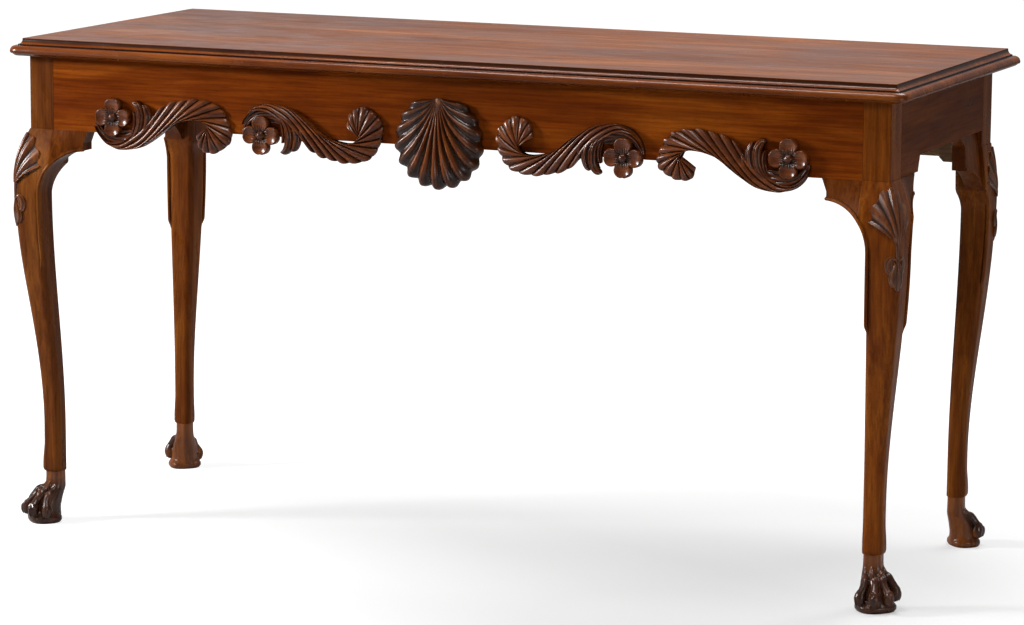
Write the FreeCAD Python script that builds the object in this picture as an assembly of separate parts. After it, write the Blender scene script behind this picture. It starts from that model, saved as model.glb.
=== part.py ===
import FreeCAD, Part
import math
import os

# Side table with a carved frieze, four cabriole legs and paw feet.
# The origin is on the floor under the middle of the top: +X right, +Y back, +Z up.

# Top board and its moulded edge
table_height = 790.0
top_length = 1500.0
top_depth = 595.0
top_thickness = 27.0
moulding_reach = 21.0
cove_reach = 6.0
cove_drop = 7.0
quirk_reach = 4.5
quirk_drop = 2.5
nose_drop = 23.5
nose_tip_radius = 2.5
underside_reach = 13.0
cove_bend_shares = (0.3, 0.62)
nose_bend_shares = (0.66, 0.29)

# Frame under the top
side_overhang = 29.3
front_overhang = 27.3
back_overhang = 53.2
frieze_height = 118.0
back_rail_height = 141.0
stile_width = 43.0
stile_depth = 50.0
stile_edge_radius = 2.0
rail_thickness = 24.0
tenon_length = 24.0
tenon_thickness = 9.0
tenon_shoulder = 12.0

# Lower edge of the front rail: shares of a scroll's length in from the outer flower, and rises above
# the stile bottom
pad_end_share = 0.033
arch_outer_share = 0.322
arch_outer_rise = 7.0
arch_top_share = 0.554
arch_top_rise = 34.5
arch_inner_share = 0.723
arch_inner_rise = 27.0
mid_edge_share = 0.752
mid_edge_rise = 11.0

# Lower edge of the side rails: places back from the apron front
side_pad_end = 134.0
side_pad_slope = 10.0
side_edge_rise = 25.0

# Cabriole legs
knee_drop = 104.0
front_knee_side = 51.5
front_knee_centre = -1.0
front_ankle_side = 31.0
front_ankle_x = -21.3
front_ankle_y = -29.0
back_knee_side = 47.0
back_knee_centre = -14.0
back_ankle_side = 29.4
back_ankle_x = -26.0
back_ankle_y = -48.5
ledge = 1.2
top_corner_radius = 2.5
knee_corner_radius = 10.0
ankle_corner_radius = 10.0
cuff_proud = 1.8

sweep_share = 0.72
leg_stations = 9
knee_stations = 6
cuff_top = 97.0
cuff_bottom = 88.0
cuff_edge = 6.5
neck_height = 59.0
neck_inset = 1.2

# Paw feet: the pad's place out from the apron corner, and the rest from the pad
front_pad_x = -10.6
front_pad_y = -10.6
back_pad_x = -17.0
back_pad_y = -33.0
pad_height = 10.0
pad_across = 61.0
pad_along = 53.0
pad_edge_radius = 3.0
foot_side = 43.0
foot_inset = 1.4
foot_corner_radius = 15.0
shoulder_height = 36.0
shoulder_side = 40.0
shoulder_share = 0.55
knuckle_radius = 9.5
knuckle_height = 39.0
knuckle_reach = 19.0
toe_radius = 8.5
toe_height = 19.0
front_toe_reach = 30.0
side_toe_reach = 25.0
toe_neck_share = 0.8
claw_radius = 4.0
claw_tip_radius = 1.2
claw_length = 9.0
claw_drop = 11.0
front_toe_angle = 20.0
side_toe_angle = 62.0

# Knee brackets: places in from the apron corner
bracket_drop = 31.0
front_bracket_radius = 73.0
side_bracket_radius = 85.0
bracket_depth = 26.0
front_bracket_reach = 104.2
side_bracket_reach = 114.0
bracket_slant = 7.2
bracket_slant_drop = 19.0
back_bracket_reach = 150.0
back_bracket_slant = 28.0
back_bracket_slant_drop = 20.0
back_bracket_setback = 6.0
bracket_end_proud = 1.5
bead_width = 5.0
bead_proud = 1.8
bead_side_proud = 1.0
bead_radius = 1.5
bead_stop_drop = 116.0

# Carved shell in the middle of the frieze
shell_hinge_drop = 31.0
shell_length = 138.0
shell_rise = 25.0
shell_hinge_radius = 7.0
shell_hinge_rise = 12.0
shell_rim_rise = 6.0
shell_flute_depth = 3.5
shell_rib_angles = (0.0, 11.8, 23.8, 35.8, 47.0, 57.0, 66.0, 74.5)
shell_groove_share = 0.945
shell_fall_share = 0.77
shell_side_share = 0.545
shell_swell_shares = ((0.3, 0.72), (0.6, 0.97), (0.82, 0.95))

# Carved leaf scrolls, which fill the rail between the shell and the knee brackets: places run from
# the flower towards the middle of the table and up
bracket_gap = 17.5
scroll_gap = 21.0
outer_flower_rise = 23.0
inner_flower_rise = 15.0
scroll_height = 90.0
scroll_spine_rise = 7.0
scroll_crest_rise = 12.0
scroll_rim_rise = 5.0
scroll_groove_depth = 3.0
scroll_groove_share = 0.86
scroll_hook_share = 0.128
scroll_end_share = 0.868
scroll_near_share = 0.35
scroll_far_share = 0.75

# One row for each rib: where it leaves the stem and where its tip lies
stem_shares = ((-0.128, -0.09, -0.112, -0.07), (-0.107, -0.24, -0.058, -0.18),
               (-0.05, -0.42, -0.017, -0.24), (0.033, -0.52, 0.041, -0.27),
               (0.095, -0.53, 0.099, -0.22), (0.14, -0.51, 0.132, -0.09))
rib_shares = ((0.165, -0.5, 0.155, 0.37), (0.198, -0.48, 0.256, 0.25), (0.231, -0.43, 0.289, 0.13),
              (0.273, -0.37, 0.355, 0.24), (0.314, -0.3, 0.434, 0.35), (0.364, -0.21, 0.512, 0.4),
              (0.409, -0.12, 0.595, 0.43), (0.467, -0.02, 0.682, 0.42), (0.529, 0.05, 0.76, 0.36),
              (0.591, 0.09, 0.826, 0.22), (0.645, 0.09, 0.864, 0.02), (0.686, 0.06, 0.868, -0.17),
              (0.711, 0.0, 0.826, -0.36), (0.722, -0.06, 0.744, -0.51), (0.724, -0.1, 0.657, -0.44),
              (0.72, -0.13, 0.62, -0.24))
petal_radius = 14.5
petal_offset = 17.0
petal_rise = 15.0
petal_dish_radius = 30.0
petal_dish_depth = 3.5
petal_count = 4
boss_radius = 7.5
boss_rise = 17.0

# Corner blocks, glue blocks and screws out of sight
corner_block_side = 26.0
corner_block_chamfer = 7.0
corner_block_overhang = 5.0
glue_block_length = 60.0
glue_block_side = 18.0
long_block_count = 5
side_block_count = 2
screw_diameter = 5.0
screw_head_diameter = 10.0
screw_head_height = 4.0
screw_bite = 14.0
screw_head_drop = 40.0
screw_tilt = 14.0
pocket_diameter = 12.0
pocket_length = 70.0
rail_screw_count = 4

overrun = 2.0

top_bottom = table_height - top_thickness
stile_bottom = top_bottom - frieze_height
apron_x = top_length / 2 - side_overhang
front_y = -top_depth / 2 + front_overhang
back_y = top_depth / 2 - back_overhang
rail_end = apron_x - stile_width
bracket_crown = stile_bottom - bracket_drop
knee_height = stile_bottom - knee_drop
bead_stop_height = knee_height - bead_stop_drop
shell_hinge_height = top_bottom - shell_hinge_drop
shell_side = shell_length * shell_side_share
scroll_span = (apron_x - front_bracket_reach - bracket_gap - shell_side - 2 * scroll_gap) / 2
scroll_length = scroll_span / (scroll_end_share + scroll_hook_share)
outer_flower_place = apron_x - front_bracket_reach - bracket_gap - scroll_hook_share * scroll_length
inner_flower_place = outer_flower_place - scroll_span - scroll_gap


def vec(x, y, z):
    return FreeCAD.Vector(x, y, z)


def box(x0, x1, y0, y1, z0, z1):
    return Part.makeBox(x1 - x0, y1 - y0, z1 - z0, vec(x0, y0, z0))


def line(start, end):
    return Part.LineSegment(start, end).toShape()


def arc(start, middle, end):
    return Part.Arc(start, middle, end).toShape()


def curve(points):
    spline = Part.BSplineCurve()
    spline.interpolate(points)
    return spline.toShape()


def polygon(points):
    return Part.Face(Part.makePolygon(points + [points[0]]))


# Smooth step from nothing to one.
def ease(share):
    share = min(max(share, 0.0), 1.0)
    return share * share * (3 - 2 * share)


# The same piece on the left of the table.
def mirrored(shape):
    return shape.mirror(vec(0, 0, 0), vec(1, 0, 0))


def save(name, shape):
    shape.exportStep("parts/" + name + ".step")
    bb = shape.BoundBox
    limits = [round(v, 1) for v in (bb.XMin, bb.XMax, bb.YMin, bb.YMax, bb.ZMin, bb.ZMax)]
    print(name, "solids", len(shape.Solids), "valid", shape.isValid(), "box", limits)


# Cross-section of the moulded edge, reaching out from the flat of the top.
def moulding_face():
    cove_bend = vec(cove_reach * cove_bend_shares[0], 0, -cove_drop * cove_bend_shares[1])
    cove_end = vec(cove_reach, 0, -cove_drop)
    nose_start = vec(cove_reach + quirk_reach, 0, -cove_drop - quirk_drop)
    nose_end = vec(moulding_reach, 0, nose_tip_radius - nose_drop)
    nose_run = nose_end - nose_start
    nose_bend = nose_start + vec(nose_run.x * nose_bend_shares[0], 0, nose_run.z * nose_bend_shares[1])
    tip_bend = nose_tip_radius * (1 - math.sqrt(1 / 2))
    tip_end = vec(moulding_reach - nose_tip_radius, 0, -nose_drop)
    under = vec(underside_reach, 0, -top_thickness)
    root = vec(0, 0, -top_thickness)
    return Part.Face(Part.Wire([
        arc(vec(0, 0, 0), cove_bend, cove_end),
        line(cove_end, nose_start),
        arc(nose_start, nose_bend, nose_end),
        arc(nose_end, vec(moulding_reach - tip_bend, 0, tip_bend - nose_drop), tip_end),
        line(tip_end, under),
        line(under, root),
        line(root, vec(0, 0, 0)),
    ]))


# One board; its moulding turns both front corners and stops square at the back.
def top_board():
    flat_x = top_length / 2 - moulding_reach
    flat_front = -top_depth / 2 + moulding_reach
    flat_back = top_depth / 2
    core = box(-flat_x, flat_x, flat_front, flat_back, top_bottom, table_height)
    side = moulding_face().extrude(vec(0, flat_back - flat_front, 0))
    side.translate(vec(flat_x, flat_front, table_height))
    front = moulding_face().extrude(vec(0, 2 * flat_x, 0))
    front.rotate(vec(0, 0, 0), vec(0, 0, 1), -90)
    front.translate(vec(-flat_x, flat_front, table_height))
    corner = moulding_face().revolve(vec(0, 0, 0), vec(0, 0, 1), -90)
    corner.translate(vec(flat_x, flat_front, table_height))
    return core.multiFuse([side, mirrored(side), front, corner, mirrored(corner)]).removeSplitter()


# Tenon on the right end of a front or back rail, in the middle of its thickness.
def x_tenon(middle_y):
    return box(rail_end, rail_end + tenon_length, middle_y - tenon_thickness / 2,
               middle_y + tenon_thickness / 2, stile_bottom + tenon_shoulder, top_bottom - tenon_shoulder)


# Tenon on a side rail, from start back to end.
def y_tenon(start, end):
    middle_x = apron_x - rail_thickness / 2
    return box(middle_x - tenon_thickness / 2, middle_x + tenon_thickness / 2, start, end,
               stile_bottom + side_edge_rise + tenon_shoulder, top_bottom - tenon_shoulder)


def front_tenons():
    return [x_tenon(front_y + rail_thickness / 2),
            y_tenon(front_y + stile_depth - tenon_length, front_y + stile_depth)]


def back_tenons():
    return [x_tenon(back_y - rail_thickness / 2),
            y_tenon(back_y - stile_depth, back_y - stile_depth + tenon_length)]


# Board with an arch sawn out under each outer scroll.
def front_rail():
    def at(place, rise):
        return vec(place, front_y, stile_bottom + rise)

    def under_scroll(share, rise):
        return at(outer_flower_place - share * scroll_length, rise)

    middle = at(0, mid_edge_rise)
    step = under_scroll(mid_edge_share, mid_edge_rise)
    arch_inner = under_scroll(arch_inner_share, arch_inner_rise)
    arch_outer = under_scroll(arch_outer_share, arch_outer_rise)
    pad_end = under_scroll(pad_end_share, 0)
    half = Part.Face(Part.Wire([
        line(middle, step),
        line(step, arch_inner),
        arc(arch_inner, under_scroll(arch_top_share, arch_top_rise), arch_outer),
        line(arch_outer, pad_end),
        line(pad_end, at(rail_end, 0)),
        line(at(rail_end, 0), at(rail_end, frieze_height)),
        line(at(rail_end, frieze_height), at(0, frieze_height)),
        line(at(0, frieze_height), middle),
    ])).extrude(vec(0, rail_thickness, 0)).fuse(front_tenons()[0])
    return half.fuse(mirrored(half)).removeSplitter()


# Plain deeper board between the back legs.
def back_rail():
    board = box(-rail_end, rail_end, back_y - rail_thickness, back_y,
                top_bottom - back_rail_height, top_bottom)
    return board.multiFuse([back_tenons()[0], mirrored(back_tenons()[0])]).removeSplitter()


# The lower edge drops to a pad over the front knee bracket.
def side_rail():
    start = front_y + stile_depth
    end = back_y - stile_depth
    pad_end = front_y + side_pad_end
    high = stile_bottom + side_edge_rise
    outline = [(start, stile_bottom), (pad_end, stile_bottom), (pad_end + side_pad_slope, high),
               (end, high), (end, top_bottom), (start, top_bottom)]
    board = polygon([vec(apron_x - rail_thickness, y, z) for y, z in outline])
    board = board.extrude(vec(rail_thickness, 0, 0))
    return board.multiFuse([front_tenons()[1], back_tenons()[1]]).removeSplitter()


# Rounded four-sided section from the outer corner x1, y1 to the inner corner x0, y0.
def section(x1, x0, y1, y0, radius, z):
    corners = [vec(x1, y1, z), vec(x0, y1, z), vec(x0, y0, z), vec(x1, y0, z)]
    bend = radius * (1 - math.sqrt(1 / 2))
    edges = []
    for index, corner in enumerate(corners):
        following = corners[(index + 1) % len(corners)]
        before = (corners[index - 1] - corner).normalize()
        after = (following - corner).normalize()
        end = corner + after * radius
        edges.append(arc(corner + before * radius, corner + (before + after) * bend, end))
        edges.append(line(end, following - after * radius))
    return Part.Wire(edges)


# A leg, right of the middle. facing is -1 at the front and 1 at the back. Places are out from
# the apron corner, along X and Y.
class Leg:
    def __init__(self, corner_y, facing, knee_centre, knee_side, ankle, ankle_side, pad):
        self.corner_y = corner_y
        self.facing = facing
        self.knee_centre = knee_centre
        self.knee_side = knee_side
        self.ankle = ankle
        self.ankle_side = ankle_side
        self.pad = pad
        self.knee_out = knee_centre + knee_side / 2
        self.knee_in = knee_side / 2 - knee_centre

    # Wire whose outer corner stands out from the apron corner and that is side_x by side_y.
    def wire(self, out_x, out_y, side_x, side_y, radius, z):
        x1 = apron_x + out_x
        y1 = self.corner_y + self.facing * out_y
        return section(x1, x1 - side_x, y1, y1 - self.facing * side_y, radius, z)

    def square(self, centre, side, radius, z):
        return self.wire(centre[0] + side / 2, centre[1] + side / 2, side, side, radius, z)

    # How far the knee stands out, and how round its corners are, between the knee and the stile.
    def bulge(self, z):
        rise = (z - knee_height) / (stile_bottom - knee_height)
        return ledge + (self.knee_out - ledge) * (1 - rise * rise)

    def upper_wire(self, z, proud_x, proud_y):
        out = self.bulge(z)
        rise = (z - knee_height) / (stile_bottom - knee_height)
        radius = knee_corner_radius + (top_corner_radius - knee_corner_radius) * rise
        return self.wire(out + proud_x, out + proud_y, stile_width + out + proud_x,
                         stile_depth + out + proud_y, radius, z)

    def upper_block(self, proud_x, proud_y):
        step = (stile_bottom - knee_height) / (knee_stations - 1)
        heights = [knee_height + step * station for station in range(knee_stations)]
        return Part.makeLoft([self.upper_wire(z, proud_x, proud_y) for z in heights], True, False)

    # Centre line and side of the leg between the knee and the cuff.
    def sweep(self, z):
        return ease((1 - z / knee_height) / sweep_share)

    def centre(self, z):
        return [self.knee_centre + (ankle - self.knee_centre) * self.sweep(z) for ankle in self.ankle]

    def side(self, z):
        return self.knee_side + (self.ankle_side - self.knee_side) * self.sweep(z)

    # Section of the leg itself below the knee, with its two outer sides moved out.
    def leg_wire(self, z, proud):
        sweep = self.sweep(z)
        radius = knee_corner_radius + (ankle_corner_radius - knee_corner_radius) * sweep
        centre = [place + proud / 2 for place in self.centre(z)]
        return self.square(centre, self.side(z) + proud, radius, z)

    def shank(self):
        wires = []
        for station in range(leg_stations):
            z = knee_height + (cuff_top + cuff_edge - knee_height) * station / (leg_stations - 1)
            wires.append(self.leg_wire(z, 0))
        return Part.makeLoft(wires, True, False)

    # Square knee block, sawn away on its two inner sides along the curve of the brackets,
    # with a bead left along the outer edge of each sawn side.
    def knee(self):
        block = self.upper_block(0, 0)
        front_bead = self.upper_block(0, bead_proud).common(self.front_saw(bead_width))
        side_bead = self.upper_block(bead_proud, 0).common(self.side_saw(bead_width))
        block = block.multiFuse([front_bead, side_bead])
        return block.cut(self.front_saw(0)).cut(self.side_saw(0))

    def front_saw(self, margin):
        saw = self.saw_arc(front_bracket_radius, margin)
        saw.translate(vec(apron_x, self.corner_y, 0))
        return saw

    def side_saw(self, margin):
        saw = self.saw_arc(side_bracket_radius, margin)
        saw.rotate(vec(0, 0, 0), vec(0, 0, 1), self.facing * 90)
        saw.translate(vec(apron_x, self.corner_y, 0))
        return saw

    # Cylinder below a bracket, grown by the margin; it leaves the knee's inner side in place.
    def saw_arc(self, radius, margin):
        span = stile_depth + self.knee_out + overrun
        arc_x, arc_z = self.arc_centre(radius)
        return Part.makeCylinder(radius + margin, 2 * span, vec(-arc_x, -span, arc_z), vec(0, 1, 0))

    def arc_centre(self, radius):
        arc_z = bracket_crown - radius
        return self.knee_in + math.sqrt(radius ** 2 - (knee_height - arc_z) ** 2), arc_z

    # The two beads run on down the leg and stop with a small step.
    def beads(self):
        front_wires = []
        side_wires = []
        for station in range(knee_stations):
            z = bead_stop_height + (knee_height - bead_stop_height) * station / (knee_stations - 1)
            x, y = self.centre(z)
            side = self.side(z)
            edge = bead_width - bead_side_proud - side / 2
            proud = side / 2 + bead_proud
            front_wires.append(self.wire(x + edge, y + proud, bead_width, side / 2, bead_radius, z))
            side_wires.append(self.wire(x + proud, y + edge, side / 2, bead_width, bead_radius, z))
        return [Part.makeLoft(front_wires, True, False), Part.makeLoft(side_wires, True, False)]

    def stile(self):
        far_y = self.corner_y - self.facing * stile_depth
        block = box(apron_x - stile_width, apron_x, min(self.corner_y, far_y), max(self.corner_y, far_y),
                    stile_bottom, top_bottom)
        arris = [e for e in block.Edges if abs(e.CenterOfMass.x - apron_x) < overrun
                 and abs(e.CenterOfMass.y - self.corner_y) < overrun]
        return block.makeFillet(stile_edge_radius, arris)

    # Ring at the fetlock, standing out on the two outer sides only.
    def cuff(self):
        wires = []
        for z, proud in ((cuff_top + cuff_edge, 0), (cuff_top, cuff_proud), (cuff_bottom, cuff_proud)):
            wires.append(self.leg_wire(z, proud))
        wires.append(self.neck_wire(cuff_bottom - cuff_edge))
        return Part.makeLoft(wires, True, True)

    def neck_wire(self, z):
        return self.square(self.centre(z), self.side(z) - 2 * neck_inset, ankle_corner_radius, z)

    def foot(self):
        shoulder = [pad + (ankle - pad) * shoulder_share for ankle, pad in zip(self.ankle, self.pad)]
        sole = [pad - foot_inset for pad in self.pad]
        wires = [self.neck_wire(cuff_bottom - cuff_edge),
                 self.neck_wire(neck_height),
                 self.square(shoulder, shoulder_side, foot_corner_radius, shoulder_height),
                 self.square(sole, foot_side, foot_corner_radius, pad_height)]
        body = Part.makeLoft(wires, True, False)
        pad = self.on_pad(oval_pad(), 0)
        toes = []
        for angle, reach in ((-side_toe_angle, side_toe_reach), (-front_toe_angle, front_toe_reach),
                             (front_toe_angle, front_toe_reach), (side_toe_angle, side_toe_reach)):
            toes += [self.on_pad(piece, angle) for piece in toe(reach)]
        return body.multiFuse([pad] + toes)

    # Turn a piece that points along +X to the leg's outward diagonal and set it on the pad's place.
    def on_pad(self, shape, angle):
        shape.rotate(vec(0, 0, 0), vec(0, 0, 1), self.facing * 45 + angle)
        shape.translate(vec(apron_x + self.pad[0], self.corner_y + self.facing * self.pad[1], 0))
        return shape

    def shape(self, tenons):
        whole = self.stile()
        for piece in [self.knee(), self.shank(), self.cuff(), self.foot()] + self.beads():
            whole = whole.fuse(piece)
        for piece in tenons:
            whole = whole.cut(piece)
        return whole.removeSplitter()


# Oval pad, wider across the foot than along it, with rounded edges.
def oval_pad():
    rim = Part.Ellipse(vec(0, pad_across / 2, 0), vec(pad_along / 2, 0, 0), vec(0, 0, 0)).toShape()
    pad = Part.Face(Part.Wire(rim)).extrude(vec(0, 0, pad_height))
    rims = [e for e in pad.Edges if e.BoundBox.ZLength < pad_edge_radius]
    return pad.makeFillet(pad_edge_radius, rims)


# Two knuckles joined by a narrower neck, and a claw that bends down to the floor.
def toe(reach):
    back = vec(knuckle_reach, 0, knuckle_height)
    front = vec(reach, 0, toe_height)
    run = front - back
    claw_run = vec(claw_length, 0, -claw_drop)
    neck = Part.makeCone(knuckle_radius * toe_neck_share, toe_radius * toe_neck_share, run.Length, back, run)
    return [Part.makeSphere(knuckle_radius, back),
            Part.makeSphere(toe_radius, front),
            neck,
            Part.makeCone(claw_radius, claw_tip_radius, claw_run.Length, front, claw_run)]


# Shaped piece glued under a rail and against a knee. In its own frame X runs in from the apron
# corner along the rail and Y out of the apron's face.
def bracket(leg, stile, radius, reach, top, slant, slant_drop, setback):
    arc_place, arc_z = leg.arc_centre(radius)
    tip = reach - slant
    middle = (stile + tip) / 2
    low = arc_z + math.sqrt(radius ** 2 - (arc_place - stile) ** 2)

    def at(place, z):
        return vec(place, -bracket_depth, z)

    def on_arc(place):
        return at(place, arc_z + math.sqrt(radius ** 2 - (arc_place - place) ** 2))

    outline = Part.Face(Part.Wire([
        line(at(stile, top), at(reach, top)),
        line(at(reach, top), at(tip, top - slant_drop)),
        line(at(tip, top - slant_drop), on_arc(tip)),
        arc(on_arc(tip), on_arc(middle), on_arc(stile)),
        line(on_arc(stile), at(stile, top)),
    ])).extrude(vec(0, bracket_depth + leg.knee_out + bead_proud + overrun, 0))
    body = outline.common(swept_face(leg, stile, reach, top, low, -setback))
    arc_disc = Part.makeCylinder(radius + bead_width, bracket_depth + leg.knee_out + overrun,
                                 vec(arc_place, -bead_width, arc_z), vec(0, 1, 0))
    bead = outline.common(swept_face(leg, stile, reach, top, low, bead_proud - setback)).common(arc_disc)
    return body.fuse(bead).removeSplitter()


# Block whose face follows the knee's bulge at the leg and runs out flat at the bracket's tip.
def swept_face(leg, stile, reach, top, low, proud):
    heights = [low - overrun + (top - low + overrun) * station / (knee_stations - 1)
               for station in range(knee_stations)]
    wires = []
    for place, faces in ((stile, [leg.bulge(z) for z in heights]),
                         (reach, [bracket_end_proud for z in heights])):
        face = [vec(place, out + proud, z) for out, z in zip(faces, heights)]
        back = [vec(place, -bracket_depth, heights[-1]), vec(place, -bracket_depth, heights[0])]
        wires.append(Part.Wire([curve(face), line(face[-1], back[0]), line(back[0], back[1]),
                                line(back[1], face[0])]))
    return Part.makeLoft(wires, True, True)


def front_bracket():
    piece = bracket(front_leg, stile_width, front_bracket_radius, front_bracket_reach, stile_bottom,
                    bracket_slant, bracket_slant_drop, 0)
    piece.rotate(vec(0, 0, 0), vec(0, 0, 1), 180)
    piece.translate(vec(apron_x, front_y, 0))
    return piece


def side_bracket():
    piece = bracket(front_leg, stile_depth, side_bracket_radius, side_bracket_reach, stile_bottom,
                    bracket_slant, bracket_slant_drop, 0)
    piece = piece.mirror(vec(0, 0, 0), vec(1, -1, 0))
    piece.translate(vec(apron_x, front_y, 0))
    return piece


def back_bracket():
    piece = bracket(back_leg, stile_depth, side_bracket_radius, back_bracket_reach,
                    stile_bottom + side_edge_rise, back_bracket_slant, back_bracket_slant_drop,
                    back_bracket_setback)
    piece.rotate(vec(0, 0, 0), vec(0, 0, 1), -90)
    piece.translate(vec(apron_x, back_y, 0))
    return piece


# Closed profile of one rib, standing on the frieze between root and tip. swell lists how far along
# it is and how far it rises there.
def rib(root, tip, swell):
    crest = [root + (tip - root) * share - vec(0, rise, 0) for share, rise in swell]
    return Part.Wire([curve(crest), line(crest[-1], tip), line(tip, root), line(root, crest[0])])


def on_frieze(x, z):
    return vec(x, front_y, z)


# Scallop shell: ribs and flutes fan out from the hinge and are joined by ruled faces.
def central_shell():
    angles = [-angle for angle in reversed(shell_rib_angles[1:])] + list(shell_rib_angles)
    edge_angle = angles[-1] + (angles[-1] - angles[-2]) / 2
    stations = [(-edge_angle, True)]
    for angle, following in zip(angles, angles[1:] + [None]):
        stations.append((angle, False))
        if following is not None:
            stations.append(((angle + following) / 2, True))
    stations.append((edge_angle, True))
    profiles = []
    for angle, is_groove in stations:
        fall = math.cos(math.radians(angle)) ** shell_fall_share
        reach = shell_length * fall * (shell_groove_share if is_groove else 1)
        depth = shell_flute_depth if is_groove else 0
        direction = vec(math.sin(math.radians(angle)), 0, -math.cos(math.radians(angle)))
        hinge = on_frieze(0, shell_hinge_height)
        swell = [(0, shell_hinge_rise)]
        for share, swell_share in shell_swell_shares:
            swell.append((share, shell_rim_rise + (shell_rise - shell_rim_rise) * fall * swell_share
                          - depth * math.sqrt(share)))
        swell.append((1, shell_rim_rise - depth / 2))
        profiles.append(rib(hinge + direction * shell_hinge_radius / 2, hinge + direction * reach, swell))
    fan = Part.makeLoft(profiles, True, True)
    hinge_boss = Part.makeCylinder(shell_hinge_radius, shell_hinge_rise, on_frieze(0, shell_hinge_height),
                                   vec(0, -1, 0))
    return fan.fuse(hinge_boss).removeSplitter()


# Leaf scroll on the right of the table: a stem that hooks round a flower, leaf fingers and twisted
# ribs that peel off it, and a curled end. The inner scrolls are the outer ones turned upside down.
def scroll(flower_place, flower_rise, up):
    def at(along, rise):
        return on_frieze(flower_place - along * scroll_length,
                         stile_bottom + flower_rise + up * rise * scroll_height)

    profiles = []
    previous = None
    for index, (root_along, root_rise, tip_along, tip_rise) in enumerate(stem_shares + rib_shares):
        root = at(root_along, root_rise)
        tip = at(tip_along, tip_rise)
        if previous and index > len(stem_shares):
            groove_root = (root + previous[0]) * 0.5
            groove_tip = groove_root + ((tip + previous[1]) * 0.5 - groove_root) * scroll_groove_share
            profiles.append(rib(groove_root, groove_tip, scroll_swell(scroll_groove_depth)))
        profiles.append(rib(root, tip, scroll_swell(0)))
        previous = (root, tip)
    leaf = Part.makeLoft(profiles, True, True)
    return leaf.multiFuse(flower(at(0, 0))).removeSplitter()


def scroll_swell(depth):
    return [(0, scroll_spine_rise - depth / 2), (scroll_near_share, scroll_crest_rise - depth),
            (scroll_far_share, scroll_crest_rise - depth), (1, scroll_rim_rise - depth / 2)]


# Four dished petals round a boss.
def flower(centre):
    out = vec(0, -1, 0)
    pieces = [Part.makeCylinder(boss_radius, boss_rise, centre, out)]
    for index in range(petal_count):
        angle = 2 * math.pi * index / petal_count
        middle = centre + vec(math.cos(angle), 0, math.sin(angle)) * petal_offset
        petal = Part.makeCylinder(petal_radius, petal_rise, middle, out)
        dish_centre = middle + out * (petal_rise + petal_dish_radius - petal_dish_depth)
        pieces.append(petal.cut(Part.makeSphere(petal_dish_radius, dish_centre)))
    return pieces


# Block in the corner between a rail's back and a leg, its free lower corner cut off.
def corner_block(face_y, inward, bottom):
    x0 = rail_end - corner_block_side
    outline = [(x0, top_bottom), (x0, bottom + corner_block_chamfer), (x0 + corner_block_chamfer, bottom),
               (rail_end, bottom), (rail_end, top_bottom)]
    return polygon([vec(x, face_y, z) for x, z in outline]).extrude(vec(0, inward * corner_block_side, 0))


# Places spread evenly between two corner blocks.
def spread(count, reach):
    return [reach * (2 * (index + 0.5) / count - 1) for index in range(count)]


# Three-sided blocks rubbed into the angle between a rail and the top.
def glue_blocks(face_y, inward, count):
    reach = rail_end - corner_block_side
    blocks = []
    for x in spread(count, reach):
        start = x - glue_block_length / 2
        corner = vec(start, face_y, top_bottom)
        face = polygon([corner, corner + vec(0, inward * glue_block_side, 0),
                        corner - vec(0, 0, glue_block_side)])
        blocks.append(face.extrude(vec(glue_block_length, 0, 0)))
    return Part.makeCompound(blocks)


def side_glue_blocks():
    face_x = apron_x - rail_thickness
    middle_y = (front_y + back_y) / 2
    reach = (back_y - front_y) / 2 - stile_depth
    blocks = []
    for y in spread(side_block_count, reach):
        corner = vec(face_x, middle_y + y - glue_block_length / 2, top_bottom)
        face = polygon([corner, corner - vec(glue_block_side, 0, 0), corner - vec(0, 0, glue_block_side)])
        blocks.append(face.extrude(vec(0, glue_block_length, 0)))
    return Part.makeCompound(blocks + [mirrored(block) for block in blocks])


# Screws that lean out of a pocket in the back of a rail and up into the top.
def screw_axes():
    places = spread(rail_screw_count, rail_end - corner_block_side)
    tilt = math.radians(screw_tilt)
    axes = []
    for face_y, inward in ((front_y, 1), (back_y, -1)):
        up = vec(0, -inward * math.sin(tilt), math.cos(tilt))
        middle_y = face_y + inward * rail_thickness / 2
        for x in places:
            axes.append((vec(x, middle_y, top_bottom) - up * (screw_head_drop / up.z), up))
    return axes


def screw(head, up):
    shank_length = screw_head_drop / up.z + screw_bite
    shank = Part.makeCylinder(screw_diameter / 2, shank_length, head, up)
    top = Part.makeCone(screw_head_diameter / 2, screw_diameter / 2, screw_head_height, head, up)
    return shank.fuse(top)


def pocket(head, up):
    return Part.makeCylinder(pocket_diameter / 2, pocket_length, head, up * -1)


front_leg = Leg(front_y, -1, front_knee_centre, front_knee_side, (front_ankle_x, front_ankle_y),
                front_ankle_side, (front_pad_x, front_pad_y))
back_leg = Leg(back_y, 1, back_knee_centre, back_knee_side, (back_ankle_x, back_ankle_y),
               back_ankle_side, (back_pad_x, back_pad_y))
screws = [screw(head, up) for head, up in screw_axes()]
pockets = [pocket(head, up) for head, up in screw_axes()]

pieces = {
    "top_board": top_board().cut(Part.makeCompound(screws)),
    "front_rail": front_rail().cut(Part.makeCompound(screws)).cut(Part.makeCompound(pockets)),
    "back_rail": back_rail().cut(Part.makeCompound(screws)).cut(Part.makeCompound(pockets)),
    "central_shell": central_shell(),
    "front_glue_blocks": glue_blocks(front_y + rail_thickness, 1, long_block_count),
    "back_glue_blocks": glue_blocks(back_y - rail_thickness, -1, long_block_count),
    "side_glue_blocks": side_glue_blocks(),
    "top_screws": Part.makeCompound(screws),
}

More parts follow.
